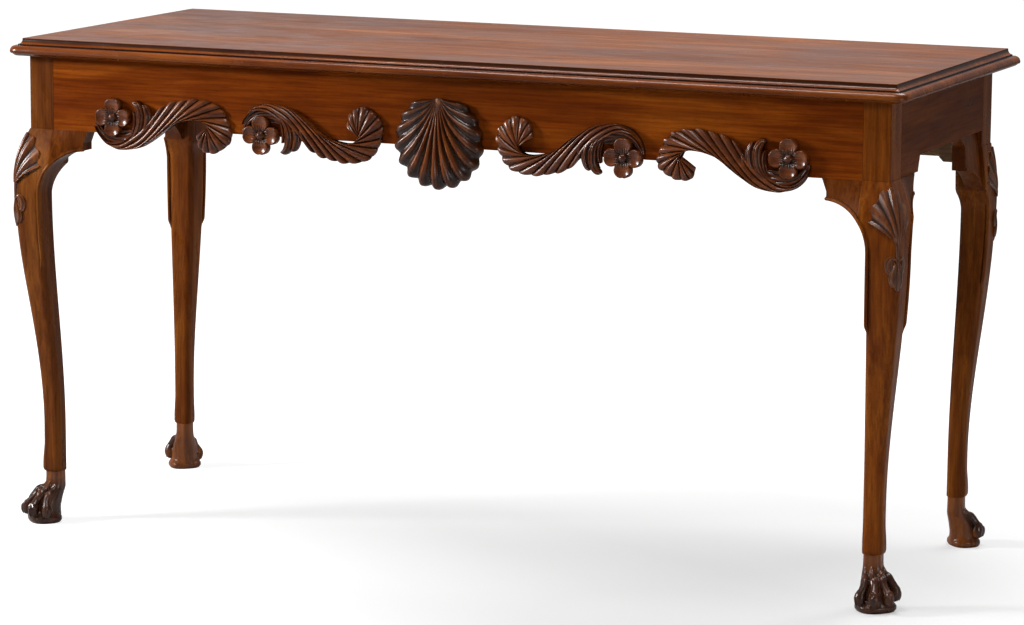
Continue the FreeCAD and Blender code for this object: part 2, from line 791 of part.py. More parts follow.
# Pieces that the table has on both sides.
pairs = {
    "side_rail": side_rail(),
    "front_leg": front_leg.shape(front_tenons()),
    "back_leg": back_leg.shape(back_tenons()),
    "front_leg_front_bracket": front_bracket(),
    "front_leg_side_bracket": side_bracket(),
    "back_leg_side_bracket": back_bracket(),
    "outer_scroll": scroll(outer_flower_place, outer_flower_rise, 1),
    "inner_scroll": scroll(inner_flower_place, inner_flower_rise, -1),
    "front_corner_block": corner_block(front_y + rail_thickness, 1, stile_bottom),
    "back_corner_block": corner_block(back_y - rail_thickness, -1,
                                      top_bottom - back_rail_height - corner_block_overhang),
}
for name, shape in pairs.items():
    pieces["right_" + name] = shape
    pieces["left_" + name] = mirrored(shape)

os.makedirs("parts", exist_ok=True)
for name, shape in pieces.items():
    save(name, shape)
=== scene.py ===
import bpy
import bmesh
import math
from mathutils import Matrix, Vector


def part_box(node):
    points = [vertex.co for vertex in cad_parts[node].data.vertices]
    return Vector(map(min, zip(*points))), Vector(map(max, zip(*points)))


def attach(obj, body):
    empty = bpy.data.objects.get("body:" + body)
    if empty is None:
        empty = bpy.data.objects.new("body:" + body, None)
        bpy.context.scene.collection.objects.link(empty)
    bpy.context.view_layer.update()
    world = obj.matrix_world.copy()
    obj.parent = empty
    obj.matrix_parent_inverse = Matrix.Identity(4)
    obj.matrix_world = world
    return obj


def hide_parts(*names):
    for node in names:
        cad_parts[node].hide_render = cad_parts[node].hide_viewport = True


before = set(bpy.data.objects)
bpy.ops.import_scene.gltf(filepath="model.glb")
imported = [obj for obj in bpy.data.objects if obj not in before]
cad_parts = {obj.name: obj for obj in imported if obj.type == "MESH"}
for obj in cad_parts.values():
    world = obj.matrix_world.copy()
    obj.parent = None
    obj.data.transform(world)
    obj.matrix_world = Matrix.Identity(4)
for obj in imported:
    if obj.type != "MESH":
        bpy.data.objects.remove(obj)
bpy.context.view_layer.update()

mm = 0.001
samePlace = 0.00001         # points nearer than this are one

# Places taken from the construction
topLow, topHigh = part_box("top_board")
railLow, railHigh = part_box("front_rail")
sideLow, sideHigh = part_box("right_side_rail")
backLow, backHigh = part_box("back_rail")
outerLow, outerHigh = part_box("right_outer_scroll")
innerLow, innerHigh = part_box("right_inner_scroll")
apronX = sideHigh.x
frontY = railLow.y
backY = backHigh.y
stileBottom = sideLow.z
topUnder = sideHigh.z


# Smooth step from nothing to one
def ease(share):
    share = min(max(share, 0.0), 1.0)
    return share * share * (3 - 2 * share)


def mix(start, end, share):
    return start + (end - start) * share


# Point on a smooth curve through given points, share running from nothing to one
def along(points, share):
    spans = len(points) - 1
    place = min(max(share, 0.0), 1.0) * spans
    index = min(int(place), spans - 1)
    t = place - index
    p1 = Vector(points[index])
    p2 = Vector(points[index + 1])
    p0 = Vector(points[index - 1]) if index > 0 else p1 * 2 - p2
    p3 = Vector(points[index + 2]) if index + 2 <= spans else p2 * 2 - p1
    return 0.5 * (p1 * 2 + (p2 - p0) * t + (p0 * 2 - p1 * 5 + p2 * 4 - p3) * t ** 2
                  + (p1 * 3 - p0 - p2 * 3 + p3) * t ** 3)


# The same for points of four numbers
def along4(points, share):
    return (*along([point[:2] for point in points], share), *along([point[2:] for point in points], share))


# Surface from a grid whose points are placed by a function of two shares
def gridMesh(bm, columns, rows, place):
    made = bmesh.ops.create_grid(bm, x_segments=columns, y_segments=rows, size=0.5)
    for vert in made["verts"]:
        vert.co = place(vert.co.x + 0.5, vert.co.y + 0.5)
    return made["verts"]


# Tube with rounded ends along a path; path(share) gives the middle and the radius there,
# and aside is a way that the path never points along
def tube(bm, path, aside, around=16, steps=24, caps=4):
    def place(u, v):
        number = round(v * (steps + 2 * caps))
        share = min(max((number - caps) / steps, 0.0), 1.0)
        middle, radius = path(share)
        ahead = (path(min(share + 0.02, 1.0))[0] - path(max(share - 0.02, 0.0))[0]).normalized()
        first = ahead.cross(aside).normalized()
        second = ahead.cross(first)
        bend = max(caps - number, number - caps - steps, 0) / caps * math.pi / 2
        past = ahead * radius * math.sin(bend) * (-1 if number < caps else 1)
        ring = radius * math.cos(bend)
        return middle + past + (first * math.cos(2 * math.pi * u) + second * math.sin(2 * math.pi * u)) * ring

    gridMesh(bm, around, steps + 2 * caps, place)


# Joins points that lie together and closes the open ends
def closeEnds(bm):
    bmesh.ops.remove_doubles(bm, verts=bm.verts[:], dist=samePlace)
    bmesh.ops.holes_fill(bm, edges=[edge for edge in bm.edges if edge.is_boundary], sides=0)


def newObject(name, data):
    thing = bpy.data.objects.new(name, data)
    bpy.context.scene.collection.objects.link(thing)
    return thing


# Turns a finished bmesh into a piece of the table
def addPiece(bm, name, material, replaced, sharpAngle):
    bmesh.ops.remove_doubles(bm, verts=bm.verts[:], dist=samePlace)
    bmesh.ops.recalc_face_normals(bm, faces=bm.faces[:])
    mesh = bpy.data.meshes.new(name)
    bm.to_mesh(mesh)
    bm.free()
    mesh.shade_smooth()
    mesh.set_sharp_from_angle(angle=math.radians(sharpAngle))
    piece = newObject(name, mesh)
    mesh.materials.append(material)
    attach(piece, "root")
    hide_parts(*replaced)
    return piece


# Carved relief: a flat sheet laid on its ground, raised by its own height and closed all round.
# shape(u, v) gives two places on the ground, the rise and the painted shade there, which darkens mostly the
# grooves;
# ground(p, q) gives the point there and the way out.
def relief(bm, ground, columns, rows, shape, sink=0.0):
    rise = bm.verts.layers.float_vector.get("rise") or bm.verts.layers.float_vector.new("rise")
    paintedShade = bm.verts.layers.float.get("paintedShade") or bm.verts.layers.float.new("paintedShade")
    made = bmesh.ops.create_grid(bm, x_segments=columns, y_segments=rows, size=0.5)
    for vert in made["verts"]:
        p, q, height, depth = shape(vert.co.x + 0.5, vert.co.y + 0.5)
        point, out = ground(p, q)
        vert.co = point - out * sink
        vert[rise] = out * (height + sink)
        vert[paintedShade] = depth
    faces = dict.fromkeys(face for vert in made["verts"] for face in vert.link_faces)
    raised = bmesh.ops.extrude_face_region(bm, geom=list(faces), use_keep_orig=True)
    for item in raised["geom"]:
        if isinstance(item, bmesh.types.BMVert):
            item.co += item[rise]


def frieze(side):
    def ground(x, z):
        return Vector((side * x, frontY, z)), Vector((0, -1, 0))
    return ground


# Materials

def addNode(tree, kind, **settings):
    node = tree.nodes.new(kind)
    for key, value in settings.items():
        setattr(node, key, value)
    return node


# Links a socket to an input, or writes a plain value there
def feed(tree, source, socket):
    if hasattr(source, "is_linked"):
        tree.links.new(source, socket)
    else:
        socket.default_value = source


# Node whose inputs are fed in their order; gives its outputs
def fedNode(tree, kind, *sources, **settings):
    node = addNode(tree, kind, **settings)
    for socket, source in zip(node.inputs, sources):
        feed(tree, source, socket)
    return node.outputs


def newMaterial(name):
    material = bpy.data.materials.new(name)
    material.use_nodes = True
    return material, material.node_tree, material.node_tree.nodes["Principled BSDF"]


def ramp(tree, source, stops):
    node = addNode(tree, "ShaderNodeValToRGB")
    tree.links.new(source, node.inputs["Fac"])
    elements = node.color_ramp.elements
    elements[0].position, elements[0].color = stops[0][0], (*stops[0][1], 1)
    elements[1].position, elements[1].color = stops[-1][0], (*stops[-1][1], 1)
    for position, color in stops[1:-1]:
        elements.new(position).color = (*color, 1)
    return node.outputs["Color"]


def blend(tree, kind, share, first, second):
    node = addNode(tree, "ShaderNodeMix", data_type="RGBA", blend_type=kind)
    for socket, value in ((node.inputs["Factor"], share), (node.inputs[6], first), (node.inputs[7], second)):
        feed(tree, (*value, 1) if isinstance(value, tuple) else value, socket)
    return node.outputs[2]


def scaled(tree, source, low, high, toLow, toHigh):
    return fedNode(tree, "ShaderNodeMapRange", source, low, high, toLow, toHigh)["Result"]


def objectPlace(tree):
    return addNode(tree, "ShaderNodeTexCoord").outputs["Object"]


# Noise drawn out along the grain, in cells per metre across it
def grainNoise(tree, look, across, drawnOut, detail, distortion, shift=0.0):
    mapping = addNode(tree, "ShaderNodeMapping")
    size = [across, across, across]
    size["xyz".index(look["grain"])] = across / drawnOut
    mapping.inputs["Scale"].default_value = size
    mapping.inputs["Location"].default_value = (shift, shift * 0.7, shift * 1.3)
    tree.links.new(objectPlace(tree), mapping.inputs["Vector"])
    noise = addNode(tree, "ShaderNodeTexNoise")
    for key, value in (("Vector", mapping.outputs["Vector"]), ("Scale", 1.0), ("Detail", detail),
                       ("Roughness", 0.55), ("Distortion", distortion)):
        feed(tree, value, noise.inputs[key])
    return noise.outputs["Fac"]


# Marks that every polished wood may have. Noise: across, drawn out, detail, distortion, shift.
# Tones darken and lighten the wood; a color covers it where the noise passes the range.
woodMarks = {
    "stripes": {"noise": (95.0, 22.0, 3.0, 0.6, 11.0), "share": "stripes",
                "tones": [(0.38, (0.6, 0.52, 0.45)), (0.58, (1.15, 1.15, 1.1))]},
    "streaks": {"noise": (300.0, 30.0, 3.0, 0.2, 4.0), "share": "streaks",
                "tones": [(0.4, (0.5, 0.44, 0.4)), (0.56, (1.1, 1.1, 1.1))]},
    "pores": {"noise": (1400.0, 22.0, 2.0, 0.0, 9.0), "share": "pores", "range": (0.6, 0.68),
              "color": "poreColor"},
    "clouds": {"noise": (9.0, 2.0, 4.0, 0.0, 17.0), "share": "clouds", "range": (0.4, 0.75),
               "color": "cloudColor"},
    "scratches": {"noise": (420.0, 60.0, 1.0, 0.3, 31.0), "share": "scratches", "range": (0.68, 0.74),
                  "color": "scratchColor"},
    "specks": {"noise": (160.0, 1.5, 2.0, 0.0, 41.0), "share": "scratches", "range": (0.7, 0.76),
               "color": "scratchColor"},
}
finish = {
    "figureDetail": 5.0, "figureStops": (0.3, 0.5, 0.7), "fullGroove": 0.8,
    "wear": (30.0, 1.6, 5.0, 0.0, 23.0), "wearRange": (0.3, 0.7), "grainDepth": 0.4 * mm, "neckStripes": 0.9,
    "neckTones": [(0.36, (0.45, 0.38, 0.3)), (0.6, (1.2, 1.2, 1.15))], "heelFade": 6.0 * mm, "heelShare": 0.8,
}


def polishedWood(name, look):
    f = finish
    material, tree, shader = newMaterial(name)
    figure = grainNoise(tree, look, look["figureAcross"], look["figureDrawn"], f["figureDetail"],
                        look["figureTwist"])
    color = ramp(tree, figure, list(zip(f["figureStops"], (look["dark"], look["middle"], look["light"]))))
    noises = {}
    masks = {}
    for markName, mark in woodMarks.items():
        if mark["share"] not in look:
            continue
        share = look[mark["share"]]
        noises[markName] = grainNoise(tree, look, *mark["noise"])
        if "tones" in mark:
            color = blend(tree, "MULTIPLY", share, color, ramp(tree, noises[markName], mark["tones"]))
        else:
            masks[markName] = scaled(tree, noises[markName], *mark["range"], 0.0, share)
            color = blend(tree, "MIX", masks[markName], color, look[mark["color"]])
    # Painted shade: the paintedShade attribute of the carvings and the moulding darkens their grooves and
    # hollows towards paintedShadeColor
    if "carved" in look:
        groove = addNode(tree, "ShaderNodeAttribute", attribute_name="paintedShade").outputs["Fac"]
        color = blend(tree, "MIX", scaled(tree, groove, 0.0, f["fullGroove"], 0.0, look["carved"]),
                      color, look["paintedShadeColor"])
    if "neckColor" in look:
        brown = blend(tree, "MULTIPLY", f["neckStripes"], look["neckColor"],
                      ramp(tree, noises["stripes"], f["neckTones"]))
        height = fedNode(tree, "ShaderNodeSeparateXYZ", objectPlace(tree))["Z"]
        color = blend(tree, "MIX", scaled(tree, height, *look["neckPlace"], 0.0, 1.0), color, brown)
    if "heelOut" in look:
        mirrored = fedNode(tree, "ShaderNodeVectorMath", objectPlace(tree), operation="ABSOLUTE")[0]
        diagonal = (math.sqrt(0.5), math.sqrt(0.5), look["heelSlope"])
        away = fedNode(tree, "ShaderNodeVectorMath", mirrored, diagonal, operation="DOT_PRODUCT")["Value"]
        mask = scaled(tree, away, look["heelOut"] - f["heelFade"], look["heelOut"] + f["heelFade"],
                      f["heelShare"], 0.0)
        color = blend(tree, "MIX", mask, color, brown)
    wear = grainNoise(tree, look, *f["wear"])
    bump = addNode(tree, "ShaderNodeBump")
    raised = blend(tree, "MIX", 0.5, noises["streaks"], scaled(tree, masks["pores"], 0.0, 1.0, 1.0, 0.0))
    for node, key, value in (
            (bump, "Strength", look["bump"]), (bump, "Distance", f["grainDepth"]), (bump, "Height", raised),
            (shader, "Base Color", color), (shader, "Specular IOR Level", look["gloss"]),
            (shader, "Roughness", scaled(tree, wear, *f["wearRange"], look["smoothest"], look["roughest"])),
            (shader, "Normal", bump.outputs["Normal"])):
        feed(tree, value, node.inputs[key])
    return material


# Looks of the woods, most of them the rails' look with its own changes
looks = {}
looks["rail"] = {
    "grain": "x", "dark": (0.125, 0.021, 0.0015), "middle": (0.2, 0.039, 0.0025),
    "light": (0.295, 0.07, 0.005),
    "figureAcross": 20.0, "figureDrawn": 8.0, "figureTwist": 1.0, "stripes": 0.42, "streaks": 0.5,
    "pores": 0.5, "poreColor": (0.03, 0.008, 0.003), "clouds": 0.3, "cloudColor": (0.09, 0.018, 0.003),
    "smoothest": 0.27, "roughest": 0.4, "gloss": 0.04, "bump": 0.12,
}
looks["leg"] = dict(
    looks["rail"], grain="z", dark=(0.11, 0.024, 0.002), middle=(0.17, 0.044, 0.004),
    light=(0.24, 0.072, 0.008), figureAcross=30.0, figureDrawn=7.0, smoothest=0.22, gloss=0.09,
)
looks["rightLeg"] = dict(
    looks["leg"], dark=(0.125, 0.027, 0.002), middle=(0.2, 0.05, 0.004), light=(0.28, 0.082, 0.007),
)
looks["leftLeg"] = dict(
    looks["leg"], dark=(0.085, 0.02, 0.003), middle=(0.14, 0.038, 0.005), light=(0.2, 0.062, 0.009),
)
# The brackets get a darker copy of the legs' wood: painted shade of the rails above them
looks["bracket"] = dict(
    looks["leg"], dark=(0.07, 0.015, 0.002), middle=(0.12, 0.029, 0.003), light=(0.17, 0.046, 0.005),
)
looks["side"] = dict(
    looks["rail"], grain="y", dark=(0.09, 0.02, 0.003), middle=(0.13, 0.032, 0.005),
    light=(0.18, 0.048, 0.008),
)
# paintedShadeColor of the moulding and the carvings is the colour of the shade painted into their hollows
looks["edge"] = dict(
    looks["rail"], dark=(0.085, 0.017, 0.001), middle=(0.145, 0.032, 0.003), light=(0.21, 0.056, 0.006),
    carved=0.95, paintedShadeColor=(0.01, 0.003, 0.001), smoothest=0.2, roughest=0.3, gloss=0.26,
)
# The top's grey clouds are partly painted sheen and partly the patchy tone of the old top
looks["top"] = dict(
    looks["rail"], dark=(0.125, 0.043, 0.02), middle=(0.19, 0.07, 0.034), light=(0.28, 0.11, 0.05),
    figureAcross=12.0, figureDrawn=7.0, stripes=0.4, streaks=0.35, clouds=0.8,
    cloudColor=(0.12, 0.078, 0.072), scratches=0.35, scratchColor=(0.5, 0.36, 0.3), smoothest=0.4,
    roughest=0.55, gloss=0.1,
)
looks["carved"] = dict(
    looks["rail"], dark=(0.06, 0.013, 0.003), middle=(0.125, 0.029, 0.004), light=(0.2, 0.05, 0.007),
    figureAcross=35.0, figureDrawn=3.0, pores=0.3, carved=0.92, paintedShadeColor=(0.01, 0.003, 0.001),
    smoothest=0.22, roughest=0.34, gloss=0.42, bump=0.08,
)
looks["knee"] = dict(
    looks["carved"], grain="z", dark=(0.09, 0.022, 0.003), middle=(0.15, 0.039, 0.005),
    light=(0.22, 0.065, 0.009), carved=0.9, gloss=0.5,
)
looks["shell"] = dict(
    looks["carved"], grain="z", dark=(0.09, 0.02, 0.003), middle=(0.2, 0.048, 0.006),
    light=(0.3, 0.08, 0.01),
)
looks["foot"] = dict(
    looks["carved"], grain="z", dark=(0.022, 0.007, 0.003), middle=(0.045, 0.014, 0.005),
    light=(0.09, 0.027, 0.008), neckColor=(0.2, 0.054, 0.006), neckPlace=(0.054, 0.074),
)
# The back feet are brown at the heel: the foot's middle is this far in from the corner of the rails, along X
# and Y together, and the toes begin this far out from it on the diagonal
heel = {"footIn": 50.0 * mm, "toesOut": 20.0 * mm, "slope": 0.6}
looks["backFoot"] = dict(
    looks["foot"], heelOut=(apronX + backY - heel["footIn"]) * math.sqrt(0.5) + heel["toesOut"],
    heelSlope=heel["slope"],
)
looks["inner"] = {
    "grain": "x", "dark": (0.2, 0.11, 0.05), "middle": (0.29, 0.17, 0.08), "light": (0.37, 0.23, 0.12),
    "figureAcross": 25.0, "figureDrawn": 10.0, "figureTwist": 0.5, "stripes": 0.4, "streaks": 0.5,
    "pores": 0.25, "poreColor": (0.08, 0.04, 0.02), "clouds": 0.4, "cloudColor": (0.16, 0.09, 0.05),
    "smoothest": 0.55, "roughest": 0.75, "gloss": 0.25, "bump": 0.25,
}
woods = {woodName: polishedWood(woodName + "Wood", look) for woodName, look in looks.items()}


def steel():
    tones = [(0.35, (0.2, 0.19, 0.18)), (0.65, (0.45, 0.44, 0.43))]
    material, tree, shader = newMaterial("screwSteel")
    noise = addNode(tree, "ShaderNodeTexNoise")
    spots = noise.outputs["Fac"]
    for node, key, value in (
            (noise, "Vector", objectPlace(tree)), (noise, "Scale", 900.0), (noise, "Detail", 3.0),
            (shader, "Metallic", 1.0), (shader, "Roughness", scaled(tree, spots, 0.3, 0.7, 0.3, 0.5)),
            (shader, "Base Color", ramp(tree, spots, tones))):
        feed(tree, value, node.inputs[key])
    return material


# The first name that is found in a node's name gives its material, so bracket comes before leg
nodeMaterials = {
    "top_board": woods["top"], "front_rail": woods["rail"], "back_rail": woods["inner"], "screws": steel(),
    "block": woods["inner"], "side_rail": woods["side"], "bracket": woods["bracket"], "leg": woods["leg"],
    "scroll": woods["carved"], "shell": woods["carved"],
}
for nodeName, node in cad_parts.items():
    chosen = next(material for key, material in nodeMaterials.items() if key in nodeName)
    node.data.materials.clear()
    node.data.materials.append(chosen)
print("materials ready")


# Top board: its moulding is drawn along the left side, the front and the right side
topBoard = {
    "reach": 21.0 * mm, "edge": 0.5 * mm, "coveReach": 7.2 * mm, "coveDrop": 9.0 * mm, "quirkReach": 1.6 * mm,
    "quirkDrop": 2.0 * mm, "noseDrop": 23.5 * mm, "noseRadius": 3.0 * mm, "undersideReach": 13.0 * mm,
    "noseBulge": 0.85, "noseFall": 1.1, "arcSteps": 10, "cornerSteps": 8, "shadeStrength": 0.7, "shadeSpill": 0.1 * mm,
    "shadeStop": 0.3 * mm,
}


def mouldingProfile():
    t = topBoard
    thickness = topHigh.z - topLow.z
    steps = t["arcSteps"]
    points = [(0.0, -thickness), (0.0, 0.0), (t["edge"] * 0.3, 0.0), (t["edge"] * 0.8, -t["edge"] * 0.3),
              (t["edge"], -t["edge"])]
    for step in range(steps + 1):
        angle = math.pi / 2 * step / steps
        points.append((t["edge"] + (t["coveReach"] - t["edge"]) * (1 - math.cos(angle)),
                       mix(-t["edge"] * 2, -t["coveDrop"], math.sin(angle))))
    points.append((t["coveReach"] + t["edge"], -t["coveDrop"] - t["edge"] * 0.6))
    points.append((t["coveReach"] + t["edge"], -t["coveDrop"] - t["quirkDrop"]))
    points.append((t["coveReach"] + t["quirkReach"], -t["coveDrop"] - t["quirkDrop"]))
    start = points[-1]
    for step in range(1, steps + 1):
        angle = math.pi / 2 * step / steps
        fall = (1 - math.cos(angle)) ** t["noseFall"]
        points.append((start[0] + (t["reach"] - start[0]) * math.sin(angle) ** t["noseBulge"],
                       mix(start[1], -t["noseDrop"] + t["noseRadius"], fall)))
    for step in range(1, steps // 2 + 1):
        angle = math.pi / 2 * step / (steps // 2)
        points.append((t["reach"] - t["noseRadius"] * (1 - math.cos(angle)),
                       -t["noseDrop"] + t["noseRadius"] * (1 - math.sin(angle))))
    points.append((t["undersideReach"], -thickness))
    return points


# Painted shade in the steep part of the cove and in the quirk
def mouldingShade(drop):
    t = topBoard
    if t["edge"] * 1.5 < drop < t["coveDrop"] - t["shadeStop"]:
        return t["shadeStrength"] * (1 - ease((drop - 0.5 * t["coveDrop"]) / (0.3 * t["coveDrop"])))
    return 1.0 if t["coveDrop"] <= drop <= t["coveDrop"] + t["quirkDrop"] + t["shadeSpill"] else 0.0


def buildTop():
    t = topBoard
    flatX = topHigh.x - t["reach"]
    flatFront = topLow.y + t["reach"]
    profile = mouldingProfile() + [(0.0, -(topHigh.z - topLow.z))]
    stations = [(-flatX, topHigh.y, 180.0)]
    for step in range(t["cornerSteps"] + 1):
        stations.append((-flatX, flatFront, 180.0 + 90.0 * step / t["cornerSteps"]))
    for step in range(t["cornerSteps"] + 1):
        stations.append((flatX, flatFront, 270.0 + 90.0 * step / t["cornerSteps"]))
    stations.append((flatX, topHigh.y, 360.0))

    def place(u, v):
        reach, drop = profile[round(u * (len(profile) - 1))]
        x, y, angle = stations[round(v * (len(stations) - 1))]
        angle = math.radians(angle)
        return Vector((x + reach * math.cos(angle), y + reach * math.sin(angle), topHigh.z + drop))

    bm = bmesh.new()
    paintedShade = bm.verts.layers.float.new("paintedShade")
    # Painted shade of the cove and quirk, kept on the moulding's points
    for vert in gridMesh(bm, len(profile) - 1, len(stations) - 1, place):
        vert[paintedShade] = mouldingShade(topHigh.z - vert.co.z)
    closeEnds(bm)
    for face in bm.faces:
        face.material_index = 1
    core = bmesh.ops.create_cube(bm, size=1.0)["verts"]
    bmesh.ops.scale(bm, vec=(2 * flatX, topHigh.y - flatFront, topHigh.z - topLow.z), verts=core)
    bmesh.ops.translate(bm, vec=(0, (topHigh.y + flatFront) / 2, (topHigh.z + topLow.z) / 2), verts=core)
    piece = addPiece(bm, "topBoard", woods["top"], ["top_board"], 30)
    piece.data.materials.append(woods["edge"])


buildTop()
print("top board ready")


# Legs: every leg is drawn in its own frame, a out from the apron corner along X, b out along Y
legShape = {
    "kneeDrop": 104.0 * mm, "ledge": 1.2 * mm, "topRadius": 2.5 * mm, "kneeRadius": 10.0 * mm,
    "sweepShare": 0.72, "stileWidth": 43.0 * mm, "stileDepth": 50.0 * mm, "stileRadius": 1.6 * mm,
    "frontArcRadius": 73.0 * mm, "sideArcRadius": 85.0 * mm, "bracketDrop": 31.0 * mm,
    "cuffTop": 132.0 * mm, "cuffFull": 94.0 * mm, "cuffBottom": 88.5 * mm, "cuffProud": 1.9 * mm,
    "neckTop": 81.5 * mm, "neckInset": 2.2 * mm, "joinRadius": 1.0 * mm, "joinRise": 25.0 * mm,
    "bowRate": 1.6, "cornerSteps": 8, "flatSteps": 6, "neckRings": (0.0, 0.12, 0.35, 0.7),
    "shankRings": 70, "kneeRings": 44, "ledgeDrop": 0.02 * mm, "ledgeRise": 0.6 * mm,
}
kneeHeight = stileBottom - legShape["kneeDrop"]


def kneeIn(leg):
    return leg["kneeSide"] / 2 - leg["kneeCentre"]


# Inner side of the knee block, sawn along an arc
def sawnSide(leg, radius, z, limit):
    arcZ = stileBottom - legShape["bracketDrop"] - radius
    arcPlace = kneeIn(leg) + math.sqrt(radius ** 2 - (kneeHeight - arcZ) ** 2)
    if z - arcZ >= radius:
        return limit
    return min(limit, arcPlace - math.sqrt(radius ** 2 - (z - arcZ) ** 2))


# Outer and inner places of the leg's section at a height, and how round its corners are
def legSection(leg, z):
    s = legShape
    if z >= stileBottom:
        return 0.0, 0.0, -s["stileWidth"], -s["stileDepth"], s["stileRadius"]
    if z >= kneeHeight:
        rise = (z - kneeHeight) / s["kneeDrop"]
        kneeOut = leg["kneeCentre"] + leg["kneeSide"] / 2
        out = s["ledge"] + (kneeOut - s["ledge"]) * (1 - rise * rise)
        outA, outB = (out + leg[key] * (1 - ease(rise)) for key in ("outerA", "outerB"))
        inA = sawnSide(leg, s["frontArcRadius"], z, s["stileWidth"])
        inB = sawnSide(leg, s["sideArcRadius"], z, s["stileDepth"])
        return outA, outB, -inA, -inB, mix(s["kneeRadius"], s["topRadius"], rise)
    sweep = ease((1 - z / kneeHeight) / s["sweepShare"])
    half = mix(leg["kneeSide"], leg["ankleSide"], sweep) / 2
    proud = s["cuffProud"] * ease((s["cuffTop"] - z) / (s["cuffTop"] - s["cuffFull"]))
    if z < s["cuffBottom"]:
        fall = (s["cuffBottom"] - z) / (s["cuffBottom"] - s["neckTop"])
        proud = mix(-s["neckInset"], s["cuffProud"], math.sqrt(max(0.0, 1 - fall * fall)))
    centreA = mix(leg["kneeCentre"], leg["ankle"][0], sweep)
    centreB = mix(leg["kneeCentre"], leg["ankle"][1], sweep)
    inner = half + min(proud, 0.0)
    bowed = ease((z - s["cuffTop"]) / (kneeHeight - s["cuffTop"]) * s["bowRate"])
    return (centreA + half + proud + leg["outerA"] * bowed, centreB + half + proud + leg["outerB"] * bowed,
            centreA - inner, centreB - inner, s["kneeRadius"])


def legPlace(leg, a, b, z):
    return Vector((leg["side"] * (apronX + a), leg["cornerY"] + leg["facing"] * b, z))


# Point round the section; the first share of each side is its corner.
# Corners against a bracket have their own radius.
def roundSection(section, share, joinRadius=None):
    outA, outB, inA, inB, outerRadius = section
    corners = [(outA, outB, 0), (inA, outB, 90), (inA, inB, 180), (outA, inB, 270)]
    place = (share % 1.0) * 4
    index = int(place) % 4
    part = place - int(place)
    cornerShare = legShape["cornerSteps"] / (legShape["cornerSteps"] + legShape["flatSteps"])

    def onCorner(number, turn):
        a, b, angle = corners[number % 4]
        angle = math.radians(angle + turn)
        signA = 1 if a == outA else -1
        signB = 1 if b == outB else -1
        radius = outerRadius if joinRadius is None or number % 2 == 0 else min(outerRadius, joinRadius)
        return (a - signA * radius + radius * math.cos(angle), b - signB * radius + radius * math.sin(angle))

    if part <= cornerShare:
        return onCorner(index, 90 * part / cornerShare)
    start = onCorner(index, 90)
    end = onCorner(index + 1, 0)
    flat = (part - cornerShare) / (1 - cornerShare)
    return mix(start[0], end[0], flat), mix(start[1], end[1], flat)


# Heights of the leg's rings, close together where its form changes fast
def legHeights():
    s = legShape
    heights = [mix(s["neckTop"], s["cuffBottom"], share) for share in s["neckRings"]]
    for step in range(s["shankRings"]):
        heights.append(mix(s["cuffBottom"], kneeHeight, step / s["shankRings"]))
    for step in range(s["kneeRings"]):
        heights.append(mix(kneeHeight, stileBottom - s["ledgeDrop"], step / (s["kneeRings"] - 1)))
    heights += [stileBottom, stileBottom + s["ledgeRise"], (stileBottom + topUnder) / 2, topUnder]
    return heights


def buildLeg(leg):
    s = legShape
    heights = legHeights()
    around = 4 * (s["cornerSteps"] + s["flatSteps"])

    def place(u, v):
        z = heights[round(v * (len(heights) - 1))]
        join = mix(s["kneeRadius"], s["joinRadius"], ease((z - kneeHeight) / s["joinRise"]))
        a, b = roundSection(legSection(leg, z), round(u * around) / around, join)
        return legPlace(leg, a, b, z)

    bm = bmesh.new()
    gridMesh(bm, around, len(heights) - 1, place)
    closeEnds(bm)
    addPiece(bm, leg["name"] + "Leg", leg["wood"], [leg["node"]], 35)


# Paw foot: neck, shoulders, toes and pad are swelled together like carved wood.
# Body: height, share of the way from the ankle to the pad, side and corner radius.
# Pad: height and share of the full width, at the lower and the upper end of each layer.
# Toes: turn from the diagonal, extra reach and lift. The feet's plain numbers are millimetres.
foot = {
    "body": [(2.0, 0.97, 47.0, 19.0), (10.0, 0.95, 48.5, 19.0), (22.0, 0.9, 45.0, 17.0),
             (34.0, 0.74, 42.5, 15.0), (45.0, 0.42, 37.0, 13.0), (55.0, 0.1, 31.5, 10.5),
             (66.0, 0.0, 28.4, 9.5), (88.0, 0.0, 27.6, 9.0)],
    "pad": ((0.0, 0.9, 4.0, 1.0), (4.0, 1.0, 8.5, 1.0), (8.5, 1.0, 18.0, 0.74)),
    "padAcross": 30.5, "padAlong": 26.5, "padSquareness": 0.08,
    "toes": ((-64.0, 7.0, 4.0), (-15.0, 1.0, 1.0), (33.0, 1.0, 0.0), (82.0, 5.0, -1.5)),
    "foldReach": 32.6, "foldHeight": 28.5, "foldRadius": 4.9, "foldRound": 1.6, "foldTilt": 25.0,
    "foldTurn": 105.0, "ankle": 31.0 * mm, "voxel": 0.8 * mm, "soften": 2,
}
# A toe's middle line: share of the way from the ankle to the pad, reach from there, height and radius;
# toeSpread is how much of its extra reach it has there. A claw's line: reach, height and radius.
toePath = [(0.0, 11.6, 67.0, 2.0), (0.08, 14.5, 59.0, 3.0), (0.32, 15.5, 52.0, 4.5), (0.68, 15.2, 46.5, 7.0),
           (0.88, 15.8, 40.5, 6.6), (1.0, 19.8, 34.5, 6.2), (1.0, 24.4, 28.8, 7.8), (1.0, 27.2, 23.5, 9.2),
           (1.0, 27.6, 18.5, 8.4)]
toeSpread = [0.0, 0.0, 0.1, 0.5, 0.9, 0.9, 0.6, 0.25, 0.1]
clawPath = [(31.5, 28.5, 2.4), (34.6, 26.4, 2.8), (36.3, 21.8, 2.2), (36.0, 16.5, 1.5), (34.8, 12.5, 0.7)]


